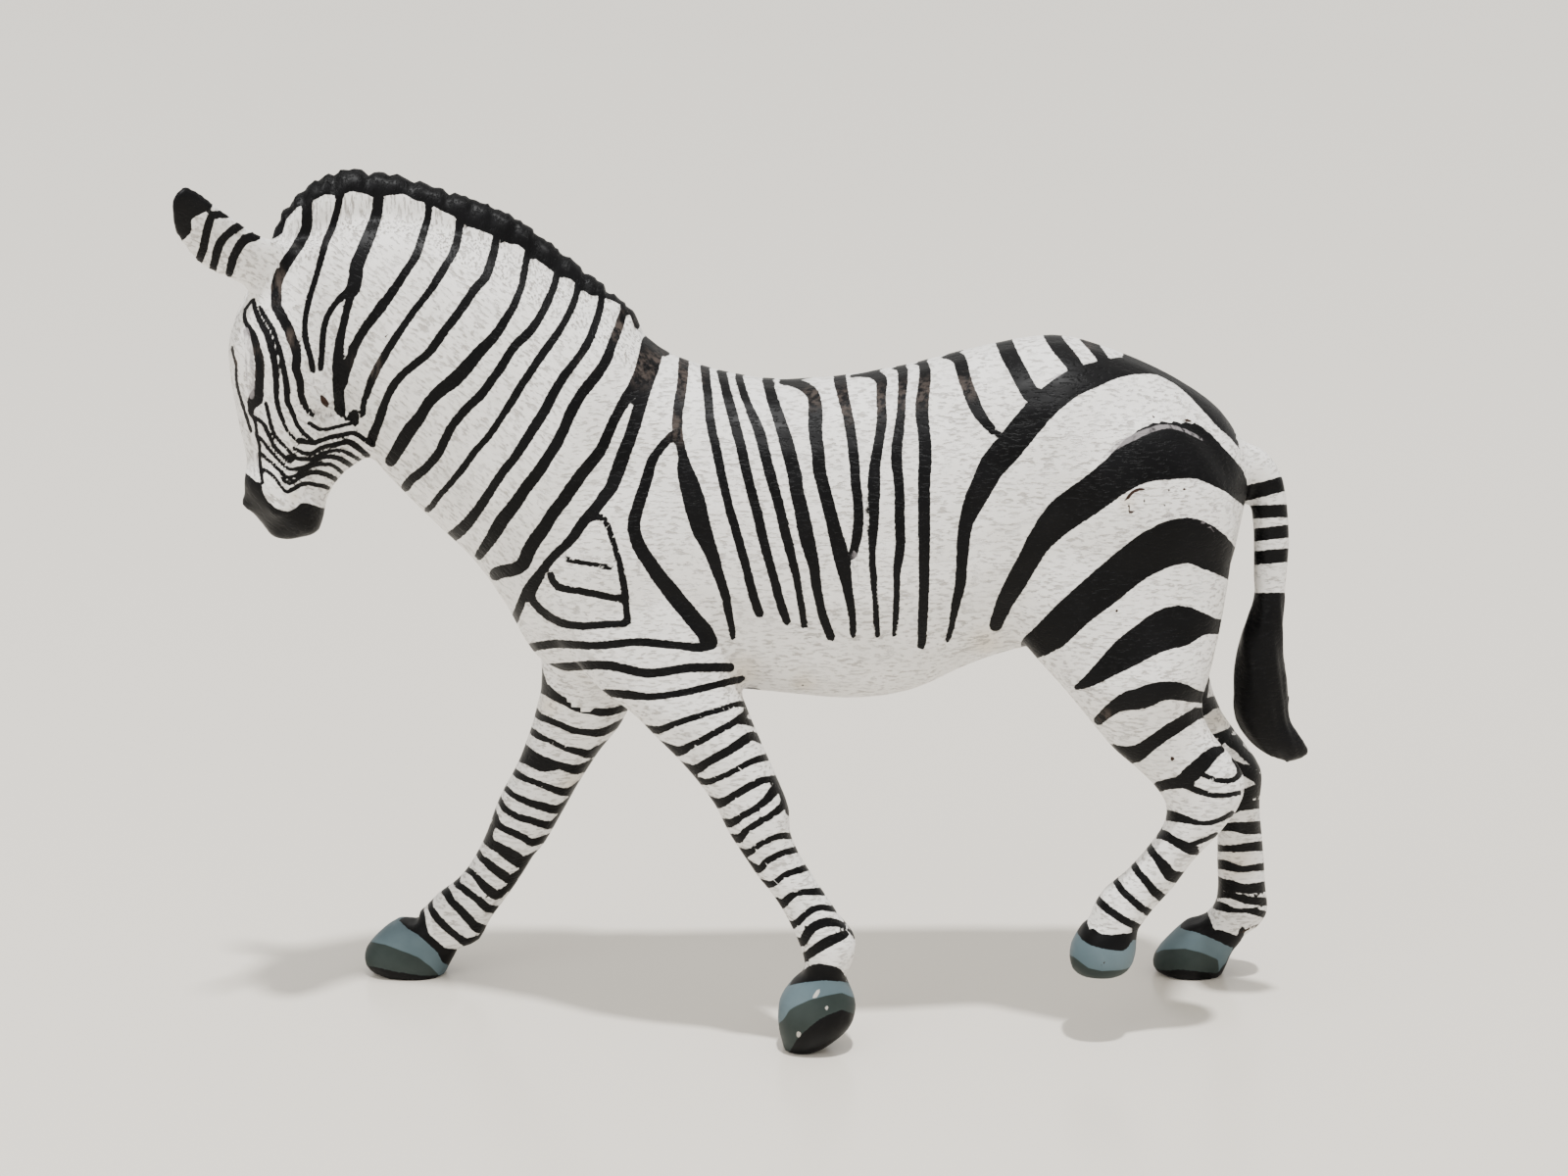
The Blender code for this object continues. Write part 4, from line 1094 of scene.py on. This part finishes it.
class Paintbox:
    """Makes the nodes of one material."""

    def __init__(self, name):
        self.material = bpy.data.materials.new(name)
        self.material.use_nodes = True
        self.tree = self.material.node_tree
        self.shader = self.tree.nodes["Principled BSDF"]

    def node(self, kind, output, inputs, **settings):
        """Any other node, with its inputs by name and its settings."""
        made = self.tree.nodes.new(kind)
        for key, value in settings.items():
            setattr(made, key, value)
        for key, value in inputs.items():
            feed(self.tree, made.inputs[key], value)
        return Field(self.tree, made.outputs[output])

    def attribute(self, name):
        return self.node("ShaderNodeAttribute", "Fac", {}, attribute_name=name)

    def position(self):
        return self.node("ShaderNodeTexCoord", "Object", {})

    def stretched(self, place, scale):
        """The place with each axis scaled, for grain that runs one way."""
        return self.node("ShaderNodeMapping", "Vector", {"Vector": place, "Scale": scale})

    def noise(self, place, scale, detail=3.0, roughness=0.5):
        inputs = {"Vector": place, "Scale": scale, "Detail": detail, "Roughness": roughness}
        return self.node("ShaderNodeTexNoise", "Fac", inputs)

    def mix(self, share, first, second):
        """From the first colour to the second."""
        made = self.tree.nodes.new("ShaderNodeMix")
        made.data_type = "RGBA"
        feed(self.tree, made.inputs[0], share)
        feed(self.tree, made.inputs[6], first)
        feed(self.tree, made.inputs[7], second)
        return Field(self.tree, made.outputs[2])


def colour(red, green, blue):
    """A colour given in the 0 to 255 steps of a display, as the linear one nodes take."""
    steps = (red / 255.0, green / 255.0, blue / 255.0)
    linear = [s / 12.92 if s <= 0.04045 else ((s + 0.055) / 1.055) ** 2.4 for s in steps]
    return (*linear, 1.0)


def fur(box, place):
    """Fine hair: 1 in its grooves. It lies level on the body and steeper on the neck."""
    level = box.noise(box.stretched(place, (1000.0, 1500.0, 3300.0)), 1.0, 3.0, 0.55)
    leaning = box.node("ShaderNodeMapping", "Vector",
                       {"Vector": place, "Rotation": (0.0, math.radians(-38.0), 0.0)})
    steep = box.noise(box.stretched(leaning, (1100.0, 1500.0, 3000.0)), 1.0, 3.0, 0.55)
    upright = box.noise(box.stretched(place, (3600.0, 3600.0, 520.0)), 1.0, 3.0, 0.55)
    neck = box.attribute("neck").between(0.2, 0.8)
    mane = box.attribute("mane").between(0.2, 0.8)
    lines = level * (1.0 - neck) + steep * neck
    lines = lines * (1.0 - mane) + upright * mane
    return lines.between(0.5, 0.66)


def coat_paint():
    """The figurine's paint: white and black coat, blue-grey and dark hooves, wear and marks, and
    painted shade in the fur's grooves, on the face and under the hooves.
    """
    box = Paintbox("painted_coat")
    place = box.position()
    grooves = fur(box, place)
    ragged = box.noise(place, 2600.0, 2.0) - 0.5
    wobble = box.noise(place, 700.0, 1.0) - 0.5
    edge = box.attribute("black") + ragged * 0.2 + wobble * 0.12
    black = edge.between(0.04, -0.04)
    mottle = box.noise(place, 160.0, 4.0)
    patchy = box.noise(place, 420.0, 3.0)
    white = box.mix(mottle.between(0.3, 0.75), colour(231, 229, 225), colour(240, 238, 235))
    white = box.mix(box.attribute("warm").between(0.0, 1.0) * 0.5, white, colour(214, 200, 176))
    # Painted shade: the fine hair's grooves are darkened in colour, where shade falls in them, as well
    # as pressed in by the bump.
    groove_shade_share = patchy.between(0.3, 0.6) * 0.8 + box.attribute("mane") * 0.2
    white = box.mix(grooves * groove_shade_share, white, colour(166, 161, 155))
    grey = (box.attribute("grey") + ragged * 0.15).between(0.05, -0.05)
    brown = (box.attribute("brown") + ragged * 0.08).between(0.03, -0.03)
    streaks = box.noise(box.stretched(place, (1500.0, 1500.0, 420.0)), 1.0, 3.0, 0.6)
    worn = box.attribute("worn").between(0.05, 0.9) * streaks.between(0.4, 0.62)
    brushed = mottle.between(0.35, 0.8)
    dark = box.mix(brushed, colour(2, 2, 3), colour(9, 9, 11))
    dark = box.mix(worn * 0.55, dark, colour(88, 78, 72))
    upper = box.mix(mottle.between(0.3, 0.7), colour(78, 94, 100), colour(92, 108, 114))
    lower = box.mix(mottle.between(0.3, 0.7), colour(38, 46, 44), colour(50, 58, 56))
    band = (box.attribute("lower_band") + wobble * 0.1).between(0.05, -0.05)
    hoof = box.mix(band, upper, lower)
    pale = (box.attribute("pale") + ragged * 0.1).between(0.04, -0.04)
    hoof = box.mix(pale * 0.8, hoof, colour(196, 192, 184))
    on_hoof = (box.attribute("hoof") + 0.25).between(0.04, -0.04)
    finish = box.mix(on_hoof, white, hoof)
    finish = box.mix(black, finish, dark)
    # Grey paint, and painted shade down the forehead, in the eye's crease and under the eye.
    finish = box.mix(grey * streaks.between(0.3, 0.55) * 0.75, finish, colour(146, 141, 143))
    # Brown paint for the eye, specks and scratches, and a thin line of painted shade at the right
    # hind's heel.
    finish = box.mix(brown, finish, colour(46, 30, 22))
    feed(box.tree, box.shader.inputs["Base Color"], finish)
    rough = 0.42 + mottle * 0.08 - black * 0.03 + on_hoof * 0.04
    feed(box.tree, box.shader.inputs["Roughness"], rough)
    smooth = box.attribute("hoof").between(-0.3, 0.3)
    hair = (patchy * 0.00016 - grooves * 0.00014) * smooth * (1.0 - black * 0.7)
    height = hair + black * 0.00002
    inputs = {"Height": height, "Distance": 1.0, "Strength": 0.8}
    feed(box.tree, box.shader.inputs["Normal"], box.node("ShaderNodeBump", "Normal", inputs))
    box.shader.inputs["Specular IOR Level"].default_value = 0.12
    return box.material


def floor_paint():
    """The plain pale floor."""
    box = Paintbox("pale_floor")
    cloud = box.noise(box.position(), 3.0, 2.0)
    tint = box.mix(cloud, colour(226, 219, 207), colour(229, 223, 212))
    feed(box.tree, box.shader.inputs["Base Color"], tint)
    box.shader.inputs["Roughness"].default_value = 0.22
    box.shader.inputs["Specular IOR Level"].default_value = 0.5
    return box.material


def fresh_object(name, mesh):
    """A new object, alone in the selection and active."""
    bpy.ops.object.select_all(action="DESELECT")
    made = bpy.data.objects.new(name, mesh)
    bpy.context.scene.collection.objects.link(made)
    made.select_set(True)
    bpy.context.view_layer.objects.active = made
    return made


def finer_copy(settings):
    """A merged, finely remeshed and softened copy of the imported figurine."""
    figure = fresh_object("zebra_figurine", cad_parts[NODE].data.copy())
    figure.data.name = "zebra_figurine"
    figure.data.materials.clear()
    bpy.ops.object.mode_set(mode="EDIT")
    bpy.ops.mesh.select_all(action="SELECT")
    bpy.ops.mesh.remove_doubles(threshold=1e-6)
    bpy.ops.object.mode_set(mode="OBJECT")
    figure.data.remesh_voxel_size = settings.voxel
    figure.data.remesh_voxel_adaptivity = 0.0
    bpy.ops.object.voxel_remesh()
    bpy.ops.object.mode_set(mode="EDIT")
    bpy.ops.mesh.select_all(action="SELECT")
    for _step in range(settings.softening):
        bpy.ops.mesh.vertices_smooth(factor=0.5)
        bpy.ops.mesh.vertices_smooth(factor=-0.5)
    bpy.ops.mesh.vertices_smooth(factor=0.5)
    bpy.ops.object.mode_set(mode="OBJECT")
    return figure


def refine_thin_paint(mesh, width, triangles):
    """Splits the faces that carry thin strokes, so that their edges stay clean."""
    surface = Surface(mesh)
    face = (surface.small(FACE_STRIPES, True) < width) & (surface.head > 0.2)
    legs = np.any(list(surface.parts.values()), axis=0) & (np.abs(surface.black()) < width)
    bm = bmesh.new()
    bm.from_mesh(mesh)
    edges = []
    for wanted in (face, legs):
        edges.extend(e for e in bm.edges if all(wanted[v.index] for v in e.verts))
    room = (triangles - 2 * len(bm.faces)) // EDGE_TRIANGLES
    bmesh.ops.subdivide_edges(bm, edges=edges[:room], cuts=1, use_grid_fill=True)
    bm.to_mesh(mesh)
    bm.free()


def carve(mesh, surface, settings):
    """Hair, hoof rims and the lines about the eye and jaw, pressed into the surface."""
    x, y, z = surface.places.T
    pixels = photo_points(surface.body_mirror())
    mane = ease(-area_distance(pixels, MANE_EDGE), -26.0, 0.0)
    mane = mane * (z > MANE_FROM) * ~(surface.near_ear | surface.far_ear)
    across, down = pixels.T
    strands = np.sin((across + HAIR_LEAN * down) * HAIR_PITCH)
    strands = strands + 0.6 * np.sin(across * FINE_HAIR_PITCH + 2.0 * np.sin(down * 0.05))
    depth = mane * (strands * 0.5 - 0.3) * settings.hair_depth
    for notch_across, notch_down, half in NOTCHES:
        away = np.hypot(across - notch_across, (down - notch_down) * NOTCH_SHORTNESS)
        depth = depth - mane * settings.notch * ease(-away, -half * 1.8, 0.0)
    tuft = surface.tail * ease(-area_distance(pixels, TUFT), -4.0, 8.0)
    hair = np.sin(np.arctan2(y - BODY_PLANE, x - TUFT_AXIS) * TUFT_LOCKS + z * TUFT_TWIST)
    depth = depth + tuft * hair * settings.hair_depth * 0.6
    hoof = surface.banded(HOOVES)
    depth = depth + settings.rim * ease(-hoof, -1.0, 4.0)
    depth = depth - settings.crease * ease(-surface.small(CREASES, True), -2.0, 2.0)
    moved = surface.places + surface.normals * depth[:, None]
    moved[:, 2] = np.maximum(moved[:, 2], 0.0)
    mesh.vertices.foreach_set("co", moved.ravel())
    mesh.update()


def write_paint(mesh, surface):
    """Keeps the paint's distances, in millimetres, and its wear on the mesh."""
    pixels = photo_points(surface.body_mirror())
    layers = {
        "black": surface.black() / PIXELS_PER_MM,
        "hoof": surface.banded(HOOVES) / PIXELS_PER_MM,
        "lower_band": surface.banded(LOWER_BANDS) / PIXELS_PER_MM,
        "brown": surface.small(BROWN_STROKES) / PIXELS_PER_MM,
        # The grey layer holds grey paint and painted shade about the eye and forehead.
        "grey": surface.small(GREY_PAINT_AND_SHADE) / PIXELS_PER_MM,
        "pale": surface.small(PALE_STROKES) / PIXELS_PER_MM,
        "worn": spots(pixels, WORN_SPOTS),
        "warm": spots(pixels, WARM_SPOTS),
        "neck": surface.neck(pixels),
        "mane": surface.mane(pixels),
    }
    for name, values in layers.items():
        layer = mesh.attributes.new(name, "FLOAT", "POINT")
        layer.data.foreach_set("value", values.astype(np.float32))


class ZebraFigureSettings(bpy.types.PropertyGroup):
    """Sizes of the figurine's surface."""

    voxel: bpy.props.FloatProperty(
        name="Cell", description="Size of the finer mesh's cells",
        default=0.00054, min=0.0003, max=0.002, precision=5, unit="LENGTH")
    softening: bpy.props.IntProperty(
        name="Softening", description="Pairs of smoothing passes over the finer mesh",
        default=8, min=0, max=40)
    hair_depth: bpy.props.FloatProperty(
        name="Hair depth", description="Depth of the mane's and tail's strands",
        default=0.00014, min=0.0, max=0.001, precision=5, unit="LENGTH")
    rim: bpy.props.FloatProperty(
        name="Hoof rim", description="How far the hooves stand out under the coronet",
        default=0.0001, min=0.0, max=0.001, precision=5, unit="LENGTH")
    triangles: bpy.props.IntProperty(
        name="Triangles", description="Most triangles in the figurine",
        default=194000, min=20000, max=199000)
    notch: bpy.props.FloatProperty(
        name="Notch", description="Depth of the notches between the mane's locks",
        default=0.0004, min=0.0, max=0.002, precision=5, unit="LENGTH")
    crease: bpy.props.FloatProperty(
        name="Crease", description="Depth of the lines about the eye and jaw",
        default=0.0004, min=0.0, max=0.001, precision=5, unit="LENGTH")


class ZebraStudioSettings(bpy.types.PropertyGroup):
    """The plain studio."""

    floor: bpy.props.FloatProperty(
        name="Floor", description="Width of the floor", default=8.0, min=1.0, unit="LENGTH")
    key: bpy.props.FloatProperty(
        name="Key", description="Strength of the light above", default=4.4, min=0.0)
    key_spread: bpy.props.FloatProperty(
        name="Key spread", description="How soft the shadow's edges are",
        default=math.radians(3.4), min=0.0, subtype="ANGLE")
    fill: bpy.props.FloatProperty(
        name="Fill", description="Power of the light by the camera",
        default=2.2, min=0.0, unit="POWER")
    sky: bpy.props.FloatProperty(
        name="Sky", description="Strength of the light all round", default=1.12, min=0.0)


class ZEBRA_OT_add_figure(bpy.types.Operator):
    """Adds the painted figurine in place of the plain imported one"""

    bl_idname = "zebra.add_figure"
    bl_label = "Add Figurine"
    bl_options = {"REGISTER", "UNDO"}

    def execute(self, context):
        settings = context.scene.zebra_figure
        figure = finer_copy(settings)
        refine_thin_paint(figure.data, FINE_PAINT_REACH, settings.triangles)
        carve(figure.data, Surface(figure.data), settings)
        write_paint(figure.data, Surface(figure.data))
        figure.data.shade_smooth()
        figure.data.materials.append(coat_paint())
        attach(figure, "root")
        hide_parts(NODE)
        return {"FINISHED"}


class ZEBRA_OT_add_studio(bpy.types.Operator):
    """Adds the floor, the lights and the photograph's camera"""

    bl_idname = "zebra.add_studio"
    bl_label = "Add Studio"
    bl_options = {"REGISTER", "UNDO"}

    def execute(self, context):
        settings = context.scene.zebra_studio
        bpy.ops.object.select_all(action="DESELECT")
        bpy.ops.mesh.primitive_plane_add(size=settings.floor, location=(0.0, 0.0, 0.0))
        floor = context.object
        floor.name = "floor"
        floor.data.materials.append(floor_paint())
        lights = (
            ("key", "SUN", settings.key, KEY_PLACE),
            ("fill", "AREA", settings.fill, FILL_PLACE),
        )
        for name, kind, power, place in lights:
            turn = (-Vector(place)).to_track_quat("-Z", "Y").to_euler()
            bpy.ops.object.light_add(type=kind, location=place, rotation=turn)
            context.object.name = name
            context.object.data.energy = power
        bpy.data.objects["key"].data.angle = settings.key_spread
        bpy.data.objects["fill"].data.size = FILL_SIZE
        world = bpy.data.worlds.new("studio")
        world.use_nodes = True
        sky = world.node_tree.nodes["Background"]
        sky.inputs["Color"].default_value = colour(244, 242, 238)
        sky.inputs["Strength"].default_value = settings.sky
        context.scene.world = world
        tilt = (math.pi / 2.0 - PHOTO_TILT, 0.0, 0.0)
        bpy.ops.object.camera_add(location=PHOTO_CAMERA, rotation=tilt)
        camera = context.object
        camera.name = "camera"
        camera.data.sensor_width = SENSOR
        camera.data.lens = PHOTO_FOCAL / PHOTO_SIZE[0] * SENSOR
        camera.data.clip_start = 0.01
        camera.data.clip_end = 50.0
        context.scene.camera = camera
        return {"FINISHED"}


class ZEBRA_PT_panel(bpy.types.Panel):
    """The figurine's and the studio's settings"""

    bl_label = "Zebra Figurine"
    bl_idname = "ZEBRA_PT_panel"
    bl_space_type = "VIEW_3D"
    bl_region_type = "UI"
    bl_category = "Zebra"

    def draw(self, context):
        layout = self.layout
        for settings, operator in (
            (context.scene.zebra_figure, "zebra.add_figure"),
            (context.scene.zebra_studio, "zebra.add_studio"),
        ):
            column = layout.column()
            for name in settings.__annotations__:
                column.prop(settings, name)
            column.operator(operator)


CLASSES = (
    ZebraFigureSettings,
    ZebraStudioSettings,
    ZEBRA_OT_add_figure,
    ZEBRA_OT_add_studio,
    ZEBRA_PT_panel,
)


def register():
    for item in CLASSES:
        bpy.utils.register_class(item)
    bpy.types.Scene.zebra_figure = bpy.props.PointerProperty(type=ZebraFigureSettings)
    bpy.types.Scene.zebra_studio = bpy.props.PointerProperty(type=ZebraStudioSettings)


def unregister():
    del bpy.types.Scene.zebra_studio
    del bpy.types.Scene.zebra_figure
    for item in reversed(CLASSES):
        bpy.utils.unregister_class(item)


def main():
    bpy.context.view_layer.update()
    register()
    bpy.ops.zebra.add_figure()
    bpy.ops.zebra.add_studio()
    bpy.context.view_layer.update()


if __name__ == "__main__":
    main()
